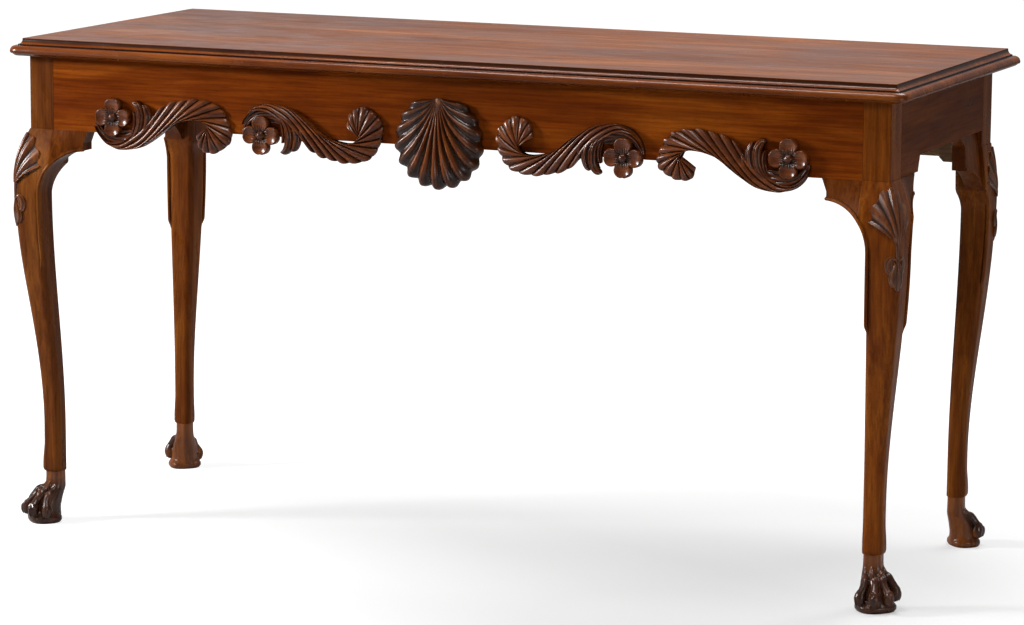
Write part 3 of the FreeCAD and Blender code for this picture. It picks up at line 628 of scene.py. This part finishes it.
# Place in a foot: share of the way from the ankle to the pad, then out towards a turn from the diagonal
def footPlace(leg, share, reach, sideways, turn, z):
    angle = math.radians(45 + turn)
    out = reach * leg["footScale"] * mm
    aside = sideways * leg["footScale"] * mm
    a = mix(leg["ankle"][0], leg["pad"][0], share) + out * math.cos(angle) - aside * math.sin(angle)
    b = mix(leg["ankle"][1], leg["pad"][1], share) + out * math.sin(angle) + aside * math.cos(angle)
    return legPlace(leg, a, b, z * mm)


# Way outwards or sideways at a toe
def footWay(leg, turn, outwards, sideways):
    return footPlace(leg, 1.0, outwards, sideways, turn, 0.0) - footPlace(leg, 1.0, 0.0, 0.0, turn, 0.0)


def buildFoot(leg):
    bm = bmesh.new()

    def body(u, v):
        z, share, side, radius = along4(foot["body"], v)
        centreA = mix(leg["ankle"][0], leg["pad"][0], share)
        centreB = mix(leg["ankle"][1], leg["pad"][1], share)
        half = side / 2 * mm * mix(leg["footScale"], leg["ankleSide"] / foot["ankle"], v)
        section = (centreA + half, centreB + half, centreA - half, centreB - half, radius * mm)
        a, b = roundSection(section, u)
        return legPlace(leg, a, b, z * mm)

    gridMesh(bm, 48, 26, body)
    closeEnds(bm)
    for low, lowWidth, high, highWidth in foot["pad"]:
        pad = bmesh.ops.create_cone(bm, cap_ends=True, segments=64, radius1=lowWidth, radius2=highWidth,
                                    depth=high - low)["verts"]
        for vert in pad:
            squared = 1 + foot["padSquareness"] * math.sin(2 * math.atan2(vert.co.y, vert.co.x)) ** 2
            vert.co = footPlace(leg, 1.0, vert.co.x * foot["padAlong"] * squared,
                                vert.co.y * foot["padAcross"] * squared, 0.0, vert.co.z + (low + high) / 2)
    for turn, spread, lift in foot["toes"]:
        def toe(share):
            way, reach, z, radius = along4(toePath, share)
            reach += spread * along([(value, 0.0) for value in toeSpread], share).x
            return footPlace(leg, way, reach, 0.0, turn, z + lift * ease(share * 2)), radius * mm

        def fold(share):
            angle = math.radians(mix(-foot["foldTurn"], foot["foldTurn"], share))
            rise = foot["foldRadius"] * math.cos(angle)
            tilt = math.radians(foot["foldTilt"])
            reach = foot["foldReach"] - rise * math.sin(tilt)
            aside = foot["foldRadius"] * math.sin(angle)
            z = foot["foldHeight"] + lift + rise * math.cos(tilt)
            return footPlace(leg, 1.0, reach, aside, turn, z), foot["foldRound"] * mm

        tube(bm, toe, footWay(leg, turn, 0.0, 1.0), steps=30)
        tube(bm, fold, footWay(leg, turn, 1.0, 0.0), around=10, steps=20)
    wood = woods["foot" if leg["facing"] < 0 else "backFoot"]
    piece = addPiece(bm, leg["name"] + "Foot", wood, [leg["node"]], 60)
    swell = piece.modifiers.new("swell", "REMESH")
    swell.mode = "VOXEL"
    swell.voxel_size = foot["voxel"]
    swell.use_smooth_shade = True
    soften = piece.modifiers.new("soften", "SMOOTH")
    soften.factor = 0.5
    soften.iterations = foot["soften"]

    # Claws, hooked down over the toes
    bm = bmesh.new()
    for turn, _, lift in foot["toes"]:
        def claw(share):
            reach, z, radius = along(clawPath, share)
            return footPlace(leg, 1.0, reach, 0.0, turn, z + lift), radius * mm

        tube(bm, claw, footWay(leg, turn, 0.0, 1.0), steps=20)
    addPiece(bm, leg["name"] + "Claws", woods["foot"], [leg["node"]], 60)


# Knee carving lies on the leg: p runs round the corner, q is the height
def kneeGround(leg):
    def ground(p, q):
        outA, outB, inA, inB, radius = legSection(leg, q)
        bend = radius * math.pi / 4
        turn = max(-1.0, min(1.0, p / bend)) * math.pi / 4
        angle = math.pi / 4 - turn
        a = outA - radius + radius * math.cos(angle)
        b = outB - radius + radius * math.sin(angle)
        rest = p - max(-bend, min(bend, p))
        if rest > 0:
            b -= rest
        else:
            a += rest
        out = Vector((leg["side"] * math.cos(angle), leg["facing"] * math.sin(angle), 0))
        return legPlace(leg, a, b, q), out
    return ground


# Shell on a knee: ribs that fan out from a root below it to tips round the corner
kneeShell = {
    "root": stileBottom - 86.0 * mm, "rootHalf": 4.0, "bend": (0.22, 0.55), "notch": 0.07, "ribs": 7,
    "depth": 2.6 * mm, "rise": 4.2 * mm, "thinnest": 0.3 * mm, "sink": 2.0 * mm, "reach": 27.2 * mm,
    "full": 5.2 * mm, "edgeRoom": 0.4, "edgeWidth": 8.0 * mm, "leastRoom": 0.45,
    "tips": [(-43.0, 583.0), (-42.5, 592.0), (-33.0, 615.0), (-14.0, 634.0), (0.0, 639.0), (14.0, 634.0),
             (33.0, 615.0), (42.5, 592.0), (43.0, 583.0)],
}


def kneeShellShape(u, v):
    k = kneeShell
    phase = u * k["ribs"]
    lobe = 0.5 - 0.5 * math.cos(2 * math.pi * phase)
    tip = along(k["tips"], u)
    tip = Vector((tip.x * mm, tip.y * mm))
    root = Vector((mix(-k["rootHalf"], k["rootHalf"], u) * mm, k["root"]))
    reach = 1 - k["notch"] * (1 - lobe)
    bend = Vector((root.x + (tip.x - root.x) * k["bend"][0], mix(root.y, tip.y, k["bend"][1])))
    t = v * reach
    point = root * (1 - t) ** 2 + bend * 2 * t * (1 - t) + tip * t * t
    swell = math.sin(math.pi * min(1.0, 0.18 + 0.7 * v))
    height = k["rise"] * (0.35 + 0.75 * swell) - k["depth"] * (1 - lobe) * min(1.0, v * 2.5)
    # The last value is painted shade in the grooves between the ribs
    return point.x, point.y, max(height, k["thinnest"]), (1 - lobe) ** 4 * min(1.0, v * 3)


# Leaf along a middle line: halfWidth and rise are functions of the share along it
def leafShape(middle, halfWidth, rise, veins, depth):
    def shape(u, v):
        point = along(middle, v)
        ahead = along(middle, min(1.0, v + 0.02)) - along(middle, max(0.0, v - 0.02))
        ahead.normalize()
        across = Vector((ahead.y, -ahead.x))
        side = 2 * u - 1
        width = halfWidth(v)
        groove = 1 - abs(math.cos(math.pi * side * veins / 2)) ** 0.7
        height = rise(v) * (1 - 0.45 * side * side) - depth * groove * math.sin(math.pi * v) ** 0.4
        place = point + across * (side * width)
        # The last value is painted shade in the veins
        return place.x * mm, place.y * mm, max(height, 0.4) * mm, groove
    return shape


def leafWidth(widest, root, place=0.55):
    def width(v):
        if v < place:
            return mix(root, widest, ease(v / place))
        return widest * math.sqrt(max(0.0, 1 - ((v - place) / (1 - place)) ** 2)) + 0.05
    return width


# Husk under the knee's shell: a stem and five leaves, by their middle lines and widest halves
husk = {
    "stem": [(0.0, 563.0), (0.0, 548.0), (0.0, 528.0)], "stemHalf": (5.0, 2.6), "stemRise": 2.6,
    "leaves": [([(side * a, z) for a, z in line], widest) for line, widest, sides in (
        ([(1.5, 535.0), (8.5, 537.0), (13.5, 530.0), (12.5, 519.0), (6.0, 513.0)], 6.4, (-1, 1)),
        ([(3.5, 530.0), (6.5, 516.0), (7.5, 503.0), (3.5, 494.0)], 5.4, (-1, 1)),
        ([(0.0, 532.0), (0.0, 512.0), (0.0, 488.0)], 5.2, (1,))) for side in sides],
    "leafRoot": 1.5, "leafRise": 2.4, "leafSwell": 2.2,
}


def buildKneeCarving(leg):
    k = kneeShell
    plain = kneeGround(leg)

    # Lower where the knee itself stands out furthest
    def ground(p, q):
        point, out = plain(p, q)
        room = (k["reach"] - max(legSection(leg, q)[:2])) / k["full"]
        room += k["edgeRoom"] * max(0.0, 1 - abs(p) / k["edgeWidth"])
        return point, out * min(1.0, max(k["leastRoom"], room))

    bm = bmesh.new()
    relief(bm, ground, 140, 40, kneeShellShape, k["sink"])
    stem = leafShape(husk["stem"], lambda v: mix(*husk["stemHalf"], v), lambda v: husk["stemRise"], 3, 0.8)
    relief(bm, ground, 16, 12, stem, k["sink"])
    for middle, widest in husk["leaves"]:
        leaf = leafShape(middle, leafWidth(widest, husk["leafRoot"]),
                         lambda v: husk["leafRise"] + husk["leafSwell"] * math.sin(math.pi * v), 2, 1.0)
        relief(bm, ground, 14, 26, leaf, k["sink"])
    addPiece(bm, leg["name"] + "KneeCarving", woods["knee"], [leg["node"]], 50)


# Bead down the inner edge of the leg and round the arch of the bracket, sinking away at its lower end
bead = {"radius": 2.7 * mm, "inset": 1.5 * mm, "sunk": 0.5 * mm, "stop": 421.0 * mm, "fade": 14.0 * mm,
        "fadeIn": 3.5 * mm, "fadeSunk": 2.6 * mm, "tipProud": 1.5 * mm, "slant": 7.2 * mm}


def buildBeads(leg):
    s = legShape
    bm = bmesh.new()
    for onFront in (True, False):
        radius = s["frontArcRadius"] if onFront else s["sideArcRadius"]
        limit = s["stileWidth"] if onFront else s["stileDepth"]
        reach = leg["bracketReach"][0 if onFront else 1] or limit
        arcZ = stileBottom - s["bracketDrop"] - radius
        arcPlace = kneeIn(leg) + math.sqrt(radius ** 2 - (kneeHeight - arcZ) ** 2)
        start = math.asin((kneeHeight - arcZ) / radius)
        end = math.acos((arcPlace - (reach if reach == limit else reach - bead["slant"])) / radius)
        straight = kneeHeight - bead["stop"]

        def path(share):
            run = share * (straight + radius * (end - start))
            if run < straight:
                z = bead["stop"] + run
                slope = 0.0
                outA, outB, inA, inB, _ = legSection(leg, z)
                inner = inA if onFront else inB
                out = outB if onFront else outA
            else:
                slope = start + (run - straight) / radius
                z = arcZ + radius * math.sin(slope)
                inner = radius * math.cos(slope) - arcPlace
                out = legSection(leg, z)[1 if onFront else 0]
                if -inner > limit and reach > limit:
                    out = mix(out, bead["tipProud"], (-inner - limit) / (reach - limit))
            fade = 1 - ease((z - bead["stop"]) / bead["fade"])
            inner += bead["inset"] * math.cos(slope) + bead["fadeIn"] * fade
            out -= bead["sunk"] + bead["fadeSunk"] * fade
            z += bead["inset"] * math.sin(slope)
            return (legPlace(leg, inner, out, z) if onFront else legPlace(leg, out, inner, z)), bead["radius"]

        tube(bm, path, (0, 1, 0) if onFront else (1, 0, 0), around=14, steps=90, caps=3)
    addPiece(bm, leg["name"] + "KneeBeads", leg["wood"], [leg["node"]], 50)


legKinds = {
    "front": {"facing": -1, "cornerY": frontY, "kneeCentre": -1.0 * mm, "kneeSide": 51.5 * mm,
              "ankle": (-21.3 * mm, -29.0 * mm), "ankleSide": 31.0 * mm, "pad": (-10.6 * mm, -10.6 * mm),
              "bracketReach": (104.2 * mm, 114.0 * mm), "footScale": 1.0},
    "back": {"facing": 1, "cornerY": backY, "kneeCentre": -14.0 * mm, "kneeSide": 47.0 * mm,
             "ankle": (-26.0 * mm, -48.5 * mm), "ankleSide": 29.4 * mm, "pad": (-17.0 * mm, -33.0 * mm),
             "bracketReach": (None, None), "footScale": 0.9},
}
# The legs differ a little: the right front leg has a lighter and the left front leg a darker copy of the
# legs' wood, and the legs stand further out along X and Y by these amounts between cuff and knee
handMade = {"rightfront": {"outerA": 0.0, "outerB": 0.0, "wood": woods["rightLeg"]},
            "leftfront": {"outerA": -5.0 * mm, "outerB": -1.0 * mm, "wood": woods["leftLeg"]},
            "rightback": {"outerA": 0.0, "outerB": 3.0 * mm, "wood": woods["leg"]},
            "leftback": {"outerA": 0.0, "outerB": 3.0 * mm, "wood": woods["leg"]}}
legs = []
for sideName, side in (("right", 1), ("left", -1)):
    for kindName, kind in legKinds.items():
        legs.append(dict(kind, name=sideName + kindName.capitalize(), node=f"{sideName}_{kindName}_leg",
                         side=side, **handMade[sideName + kindName]))
for leg in legs:
    buildLeg(leg)
    buildFoot(leg)
    buildBeads(leg)
    buildKneeCarving(leg)
print("legs ready")


# Scallop shell in the middle of the frieze
shell = {
    "hinge": 732.0, "hingeHalf": 5.0, "centre": 664.0, "radius": 74.0, "turn": 20.5, "ribs": 15, "depth": 7.0,
    "peak": 27.0, "lowPeak": 9.0, "peakPlace": 0.62, "hingeRise": 10.0, "rimRise": 5.0, "lowRim": 4.0,
    "rimPlace": 0.76, "notch": 0.075, "bend": (0.27, 0.62), "fineRise": 0.5, "fineWidth": 0.06,
    "knobRadius": 5.5, "knobDrop": 6.0,
}


def shellShape(u, v):
    s = shell
    phase = u * s["ribs"]
    number = phase - s["ribs"] / 2
    turn = math.radians(number * s["turn"])
    low = 0.5 + 0.5 * math.cos(turn)
    lobe = 0.5 - 0.5 * math.cos(2 * math.pi * phase)
    edge = s["radius"] * (1 - s["notch"] * (1 - lobe ** 0.7) * (0.5 + 0.5 * low))
    tip = Vector((edge * math.sin(turn), s["centre"] - edge * math.cos(turn)))
    hinge = Vector((mix(-s["hingeHalf"], s["hingeHalf"], u), s["hinge"] - 1.0))
    run = tip - hinge
    bend = hinge + Vector((run.x * s["bend"][0], run.y * s["bend"][1]))
    point = hinge * (1 - v) ** 2 + bend * 2 * v * (1 - v) + tip * v * v
    peak = mix(s["lowPeak"], s["peak"], low ** 0.6)
    height = mix(s["hingeRise"], peak, math.sin(math.pi / 2 * min(1.0, v / s["peakPlace"])))
    if v > s["rimPlace"]:
        fall = (v - s["rimPlace"]) / (1 - s["rimPlace"])
        rim = mix(s["lowRim"], s["rimRise"], low)
        height = rim + (height - rim) * math.sqrt(max(0.0, 1 - fall ** 2.4))
    share = min(1.0, v * 2.0)
    fine = max(0.0, 1 - abs(abs((phase % 1.0) - 0.5) - 0.3) / s["fineWidth"])
    groove = 1 - lobe
    height -= (s["depth"] * (0.35 + 0.65 * low) * groove + s["fineRise"] * fine) * share
    # Painted shade: dark grooves, and darker under the rim at the bottom and on the outer ribs that turn away
    # from the light
    shade = groove ** 2.2 + 0.25 * fine + 0.5 * ease((v - s["rimPlace"]) / 0.1) * low + 0.6 * (1 - low) ** 0.7
    return point.x * mm, point.y * mm, max(height, 1.0) * mm, min(1.0, shade)


def buildShell():
    drop = shell["knobDrop"]
    radius = shell["knobRadius"] * mm
    bm = bmesh.new()
    relief(bm, frieze(1), 360, 60, shellShape)
    knob = bmesh.ops.create_uvsphere(bm, u_segments=32, v_segments=16, radius=radius)["verts"]
    bmesh.ops.translate(bm, vec=(0, frontY - drop * mm, (shell["hinge"] - drop) * mm), verts=knob)
    addPiece(bm, "centralShell", woods["shell"], ["central_shell"], 60)


buildShell()
print("shell ready")


# Leaf scroll: places run from the flower's middle towards the curl, and up
scroll = {
    "stem": [(-31.0, -13.0), (-26.0, -22.0), (-12.0, -38.0), (8.0, -47.0), (23.0, -48.0), (48.0, -44.0),
             (68.0, -34.0), (88.0, -20.0), (108.0, -4.0), (128.0, 5.0), (148.0, 10.5), (163.0, 8.0),
             (171.0, 0.0), (175.0, -8.0)],
    "tips": [(68.0, 4.0), (86.0, 22.0), (105.0, 32.0), (124.0, 35.5), (143.0, 39.0), (165.0, 37.5),
             (185.0, 32.0), (198.0, 20.0), (206.0, 4.0), (211.0, -12.0), (207.0, -28.0), (195.0, -38.0),
             (180.0, -46.0), (163.0, -44.0), (153.0, -36.0), (149.0, -20.0)],
    "leaves": [0.386, 0.465, 0.54, 0.61, 0.67, 0.737, 0.794, 0.835, 0.885, 0.918, 0.942, 0.963, 0.985, 1.0,
               1.0, 1.0],
    "lead": 0.386, "lastLead": 0.02, "depth": 4.2, "spine": 7.0, "crest": 14.0, "rim": 6.0, "rimPlace": 0.78,
    "notch": 0.018, "sweep": (2.6, 1.15), "flowerInset": 32.1, "outerRise": 24.0, "innerRise": 15.0,
    "hookPlace": 140.0, "hookRun": 40.0,
}
# Leaves beside the flower: middle line, widest half, half at the root, rise and number of veins
leaves = [
    ([(-28.0, -4.0), (-25.0, -14.0), (-17.0, -25.0), (-4.0, -33.0), (12.0, -36.0), (28.0, -35.5),
      (46.0, -30.0), (60.0, -22.0)], 11.5, 4.5, 9.5, 3),
    ([(-12.0, -24.0), (6.0, -27.0), (22.0, -26.0), (38.0, -20.0)], 9.5, 6.0, 6.0, 2),
    ([(22.0, -34.0), (38.0, -27.0), (48.0, -13.0), (51.0, 3.0), (49.5, 16.0), (44.0, 25.0), (37.0, 27.0)],
     7.5, 5.0, 15.0, 3),
    ([(40.0, -32.0), (54.0, -22.0), (61.0, -8.0), (63.0, 6.0), (60.0, 18.0), (56.0, 25.0)],
     6.5, 5.0, 13.5, 2),
    ([(56.0, -28.0), (67.0, -17.0), (73.0, -4.0), (73.0, 8.0)], 5.5, 4.0, 11.0, 2),
    ([(28.0, -32.0), (37.0, -20.0), (41.0, -6.0), (41.0, 6.0), (38.0, 13.0)], 4.5, 3.0, 11.0, 2),
]


def lengths(points):
    total = [0.0]
    for first, second in zip(points, points[1:]):
        total.append(total[-1] + (Vector(second) - Vector(first)).length)
    return [value / total[-1] for value in total]


stemLengths = lengths(scroll["stem"])


# Place on the stem's lower edge at a share of its length
def onStem(share):
    share = min(max(share, 0.0), 1.0)
    for index in range(len(stemLengths) - 1):
        if share <= stemLengths[index + 1]:
            break
    part = (share - stemLengths[index]) / (stemLengths[index + 1] - stemLengths[index])
    return along(scroll["stem"], (index + part) / (len(stemLengths) - 1))


def gadroonShape(u, v):
    s = scroll
    ribs = len(s["tips"]) - 1
    phase = u * ribs
    index = min(int(phase), ribs - 1)
    part = phase - index
    departure = mix(s["leaves"][index], s["leaves"][index + 1], part)
    lead = mix(s["lead"], s["lastLead"], ease(u * 1.1) ** 0.8)
    tip = along(s["tips"], u)
    lobe = abs(math.cos(math.pi * phase)) ** 0.8
    start = onStem(departure)
    power = mix(*s["sweep"], ease(u * 1.15))
    share = v * (1 - s["notch"] * (1 - lobe) * v ** 3)
    point = onStem(departure - lead * (1 - v)) + (tip - start) * share ** power
    swell = math.sin(math.pi * min(1.0, 0.12 + 0.78 * v))
    base = mix(s["spine"], s["crest"], swell)
    if v > s["rimPlace"]:
        fall = (v - s["rimPlace"]) / (1 - s["rimPlace"])
        base = s["rim"] + (base - s["rim"]) * math.sqrt(max(0.0, 1 - fall ** 2))
    groove = 1 - lobe
    height = base - s["depth"] * groove * min(1.0, 0.2 + v * 1.6)
    # The last value is painted shade in the grooves between the lobes
    return point.x, point.y, max(height, 1.0), groove ** 3 * min(1.0, 0.3 + v * 2)


# The flower sits a little above its scroll's own middle
flower = {
    "middle": Vector((1.5, 2.5)), "petals": 4, "radius": 13.6, "offset": 17.2, "wide": 1.12, "rise": 9.0,
    "dish": 5.0, "rim": 0.84, "rimFall": 3.4, "notch": 0.08, "veinDepth": 1.2, "bossRadius": 7.4,
    "bossOut": 8.8, "bossFlat": 0.8, "bossNotch": 0.16, "bossShade": 0.45,
}


# Dished petal with veins at its root, wider than long
def petalShape(turn):
    f = flower

    def shape(u, v):
        x = 2 * u - 1
        y = 2 * v - 1
        p = x * math.sqrt(1 - y * y / 2)
        q = y * math.sqrt(1 - x * x / 2)
        size = math.hypot(p, q)
        out = Vector((math.cos(turn), math.sin(turn)))
        across = Vector((-out.y, out.x))
        notch = 1 - f["notch"] * math.exp(-(p / 0.16) ** 2) * max(q, 0.0)
        place = (out * (f["offset"] + q * f["radius"] * notch)
                 + across * (p * f["radius"] * f["wide"] * (0.9 + 0.1 * q)) + f["middle"])
        vein = max(0.0, 1 - abs(((p * 3.5 + 0.5) % 1.0) - 0.5) * 5) * ease((0.1 - q) / 0.6)
        height = f["rise"] + f["dish"] * size ** 2.2 - f["veinDepth"] * vein - 3.5 * ease((-0.3 - q) / 0.6)
        if size > f["rim"]:
            height -= f["rimFall"] * ((size - f["rim"]) / (1 - f["rim"])) ** 2
        # The last value is painted shade in the veins and on the sunken root of the petal beside the boss
        return place.x, place.y, height, min(1.0, 0.8 * vein + 0.7 * ease((-0.25 - q) / 0.6))
    return shape


# Scroll about its flower's place; up is 1 or -1, and hookStretch lengthens or shortens the curl's fall
def buildScroll(name, node, side, centreX, centreZ, up, hookStretch):
    f = flower

    def placed(shape, unit=1.0):
        def turned(u, v):
            p, q, height, depth = shape(u, v)
            p, q = p / unit, q / unit
            if q < 0:
                q *= 1 + hookStretch * ease((p - scroll["hookPlace"]) / scroll["hookRun"])
            return centreX - p * mm, centreZ + up * q * mm, height / unit * mm, depth
        return turned

    ground = frieze(side)
    bm = bmesh.new()
    relief(bm, ground, 300, 46, placed(gadroonShape))
    for middle, widest, root, top, veins in leaves:
        def rise(v, top=top):
            return mix(5.5, top, math.sin(math.pi * min(1.0, 0.12 + 0.68 * v)))
        shape = leafShape(middle, leafWidth(widest, root), rise, veins, 2.4)
        relief(bm, ground, 26, 44, placed(shape, mm))
    for number in range(f["petals"]):
        relief(bm, ground, 28, 28, placed(petalShape(2 * math.pi * number / f["petals"])))
    boss = bmesh.ops.create_uvsphere(bm, u_segments=40, v_segments=20, radius=f["bossRadius"] * mm)["verts"]
    paintedShade = bm.verts.layers.float["paintedShade"]
    for vert in boss:
        vert[paintedShade] = f["bossShade"]
        notch = 1 - f["bossNotch"] * abs(math.cos(3 * math.atan2(vert.co.x, vert.co.z)))
        vert.co = Vector((vert.co.x * notch, vert.co.y * f["bossFlat"], vert.co.z * notch))
    bossPlace = (side * (centreX - f["middle"].x * mm), frontY - f["bossOut"] * mm,
                 centreZ + up * f["middle"].y * mm)
    bmesh.ops.translate(bm, vec=bossPlace, verts=boss)
    addPiece(bm, name, woods["carved"], [node], 55)


# The left outer curl hangs lower than the right one
for sideName, side, outerStretch in (("right", 1, -0.14), ("left", -1, 0.0)):
    for kind, high, rise, up, hookStretch in (("Outer", outerHigh, scroll["outerRise"], 1, outerStretch),
                                              ("Inner", innerHigh, scroll["innerRise"], -1, 0.12)):
        buildScroll(f"{sideName}{kind}Scroll", f"{sideName}_{kind.lower()}_scroll", side,
                    high.x - scroll["flowerInset"] * mm, stileBottom + rise * mm, up, hookStretch)
print("scrolls ready")


# Floor, light and camera

# How white a thing of the background is for the ray that meets it: camera and glass see it full,
# polish sees the share given, and what lights the table sees none of it
def whiteShare(tree, polishShare):
    path = addNode(tree, "ShaderNodeLightPath").outputs
    clear = fedNode(tree, "ShaderNodeMath", path["Is Camera Ray"], path["Is Transmission Ray"],
                    operation="MAXIMUM")[0]
    glossy = fedNode(tree, "ShaderNodeMath", path["Is Glossy Ray"], polishShare, operation="MULTIPLY")[0]
    return fedNode(tree, "ShaderNodeMath", clear, glossy, operation="MAXIMUM")[0]


# Painted shadow on the floor: its white grows from its near to its far share with the distance from the
# middle of the painted shadow.
# What polish sees of the backdrop falls off towards the front, and from the left to the right.
stage = {
    "floorSize": 60.0, "floorColor": 0.42, "floorPolish": 0.06, "paintedShadowPlace": (0.45, -0.45, 0.0),
    "paintedShadowRange": (0.2, 1.9), "paintedShadowLift": 0.38, "farLift": 1.0, "roomLight": 0.15, "frontRange": (0.0, 0.5),
    "frontPolish": 0.05, "rightRange": (-0.6, 0.0), "leftPolish": 0.4, "rightPolish": 0.12,
}


def buildFloor():
    bm = bmesh.new()
    bmesh.ops.create_grid(bm, x_segments=1, y_segments=1, size=stage["floorSize"])
    mesh = bpy.data.meshes.new("floor")
    bm.to_mesh(mesh)
    bm.free()
    floor = newObject("floor", mesh)
    material, tree, shader = newMaterial("paleFloor")
    shader.inputs["Base Color"].default_value = (*[stage["floorColor"]] * 3, 1)
    shader.inputs["Roughness"].default_value = 0.9
    shader.inputs["Specular IOR Level"].default_value = 0.1
    # Painted shadow: a lower white around paintedShadowPlace, under and in front of the table
    apart = fedNode(tree, "ShaderNodeVectorMath", objectPlace(tree), stage["paintedShadowPlace"],
                    operation="SUBTRACT")[0]
    away = fedNode(tree, "ShaderNodeVectorMath", apart, operation="LENGTH")["Value"]
    level = ramp(tree, scaled(tree, away, *stage["paintedShadowRange"], 0.0, 1.0),
                 [(0.0, [stage["paintedShadowLift"]] * 3), (1.0, [stage["farLift"]] * 3)])
    lift = fedNode(tree, "ShaderNodeEmission", level, whiteShare(tree, stage["floorPolish"]))[0]
    both = fedNode(tree, "ShaderNodeAddShader", shader.outputs["BSDF"], lift)[0]
    tree.links.new(both, tree.nodes["Material Output"].inputs["Surface"])
    mesh.materials.append(material)


# White backdrop behind the table, and a darker room to the right and in front of it
def buildWorld():
    world = bpy.data.worlds.new("studio")
    bpy.context.scene.world = world
    world.use_nodes = True
    tree = world.node_tree
    room = tree.nodes["Background"]
    room.inputs["Color"].default_value = (0.97, 0.98, 1.0, 1)
    room.inputs["Strength"].default_value = stage["roomLight"]
    white = fedNode(tree, "ShaderNodeBackground", (1, 1, 1, 1))[0]
    way = fedNode(tree, "ShaderNodeSeparateXYZ", addNode(tree, "ShaderNodeTexCoord").outputs["Generated"])
    behind = scaled(tree, way["Y"], *stage["frontRange"], stage["frontPolish"], 1.0)
    beside = scaled(tree, way["X"], *stage["rightRange"], stage["leftPolish"], stage["rightPolish"])
    backdrop = fedNode(tree, "ShaderNodeMath", behind, beside, operation="MULTIPLY")[0]
    mixed = fedNode(tree, "ShaderNodeMixShader", whiteShare(tree, backdrop), room.outputs["Background"],
                    white)[0]
    tree.links.new(mixed, tree.nodes["World Output"].inputs["Surface"])


lamps = {
    "keySoftbox": {"place": (-3.0, -1.7, 1.6), "target": (0.0, 0.0, 0.6), "size": (0.6, 0.6),
                   "power": 126.0},
    "overheadStrip": {"place": (-0.25, -0.75, 2.9), "target": (0.1, -0.3, 0.7), "size": (2.4, 0.35),
                      "power": 60.0},
    "topSoftbox": {"place": (0.9, 0.8, 2.5), "target": (0.5, 0.0, 0.6), "size": (1.0, 1.0),
                   "power": 38.0},
    "sideStrip": {"place": (3.4, -1.5, 0.8), "target": (0.7, -0.2, 0.6), "size": (0.15, 1.4),
                  "power": 16.0},
    "windowCard": {"place": (-3.4, 4.4, 1.6), "target": (-0.6, 0.0, 0.8), "size": (2.0, 1.4),
                   "power": 4.0},
}


def buildLamps():
    for name, lamp in lamps.items():
        light = bpy.data.lights.new(name, "AREA")
        light.shape = "RECTANGLE"
        light.size, light.size_y = lamp["size"]
        light.energy = lamp["power"]
        piece = newObject(name, light)
        piece.location = lamp["place"]
        aim = Vector(lamp["target"]) - Vector(lamp["place"])
        piece.rotation_euler = aim.to_track_quat("-Z", "Y").to_euler()


# The camera's place was worked out from the table's own corners in the photograph
cameraView = {
    "azimuth": 23.296, "elevation": 9.747, "roll": 0.417, "distance": 6.2392, "right": 0.01007,
    "up": -0.03533, "middle": (0.0, -0.01295, 0.395), "lens": 136.98, "sensor": 36.0, "farthest": 200.0,
}


def buildCamera():
    c = cameraView
    azimuth = math.radians(c["azimuth"])
    elevation = math.radians(c["elevation"])
    roll = math.radians(c["roll"])
    back = Vector((math.sin(azimuth) * math.cos(elevation), -math.cos(azimuth) * math.cos(elevation),
                   math.sin(elevation)))
    right = Vector((math.cos(azimuth), math.sin(azimuth), 0))
    up = back.cross(right)
    place = Vector(c["middle"]) + back * c["distance"] + right * c["right"] + up * c["up"]
    rolledRight = right * math.cos(roll) + up * math.sin(roll)
    rolledUp = up * math.cos(roll) - right * math.sin(roll)
    data = bpy.data.cameras.new("camera")
    data.sensor_width = c["sensor"]
    data.lens = c["lens"]
    data.clip_end = c["farthest"]
    camera = newObject("camera", data)
    turn = Matrix((rolledRight, rolledUp, back)).transposed().to_4x4()
    camera.matrix_world = Matrix.Translation(place) @ turn
    bpy.context.scene.camera = camera


buildFloor()
buildWorld()
buildLamps()
buildCamera()
bpy.context.scene.view_settings.view_transform = "Standard"
print("stage ready")
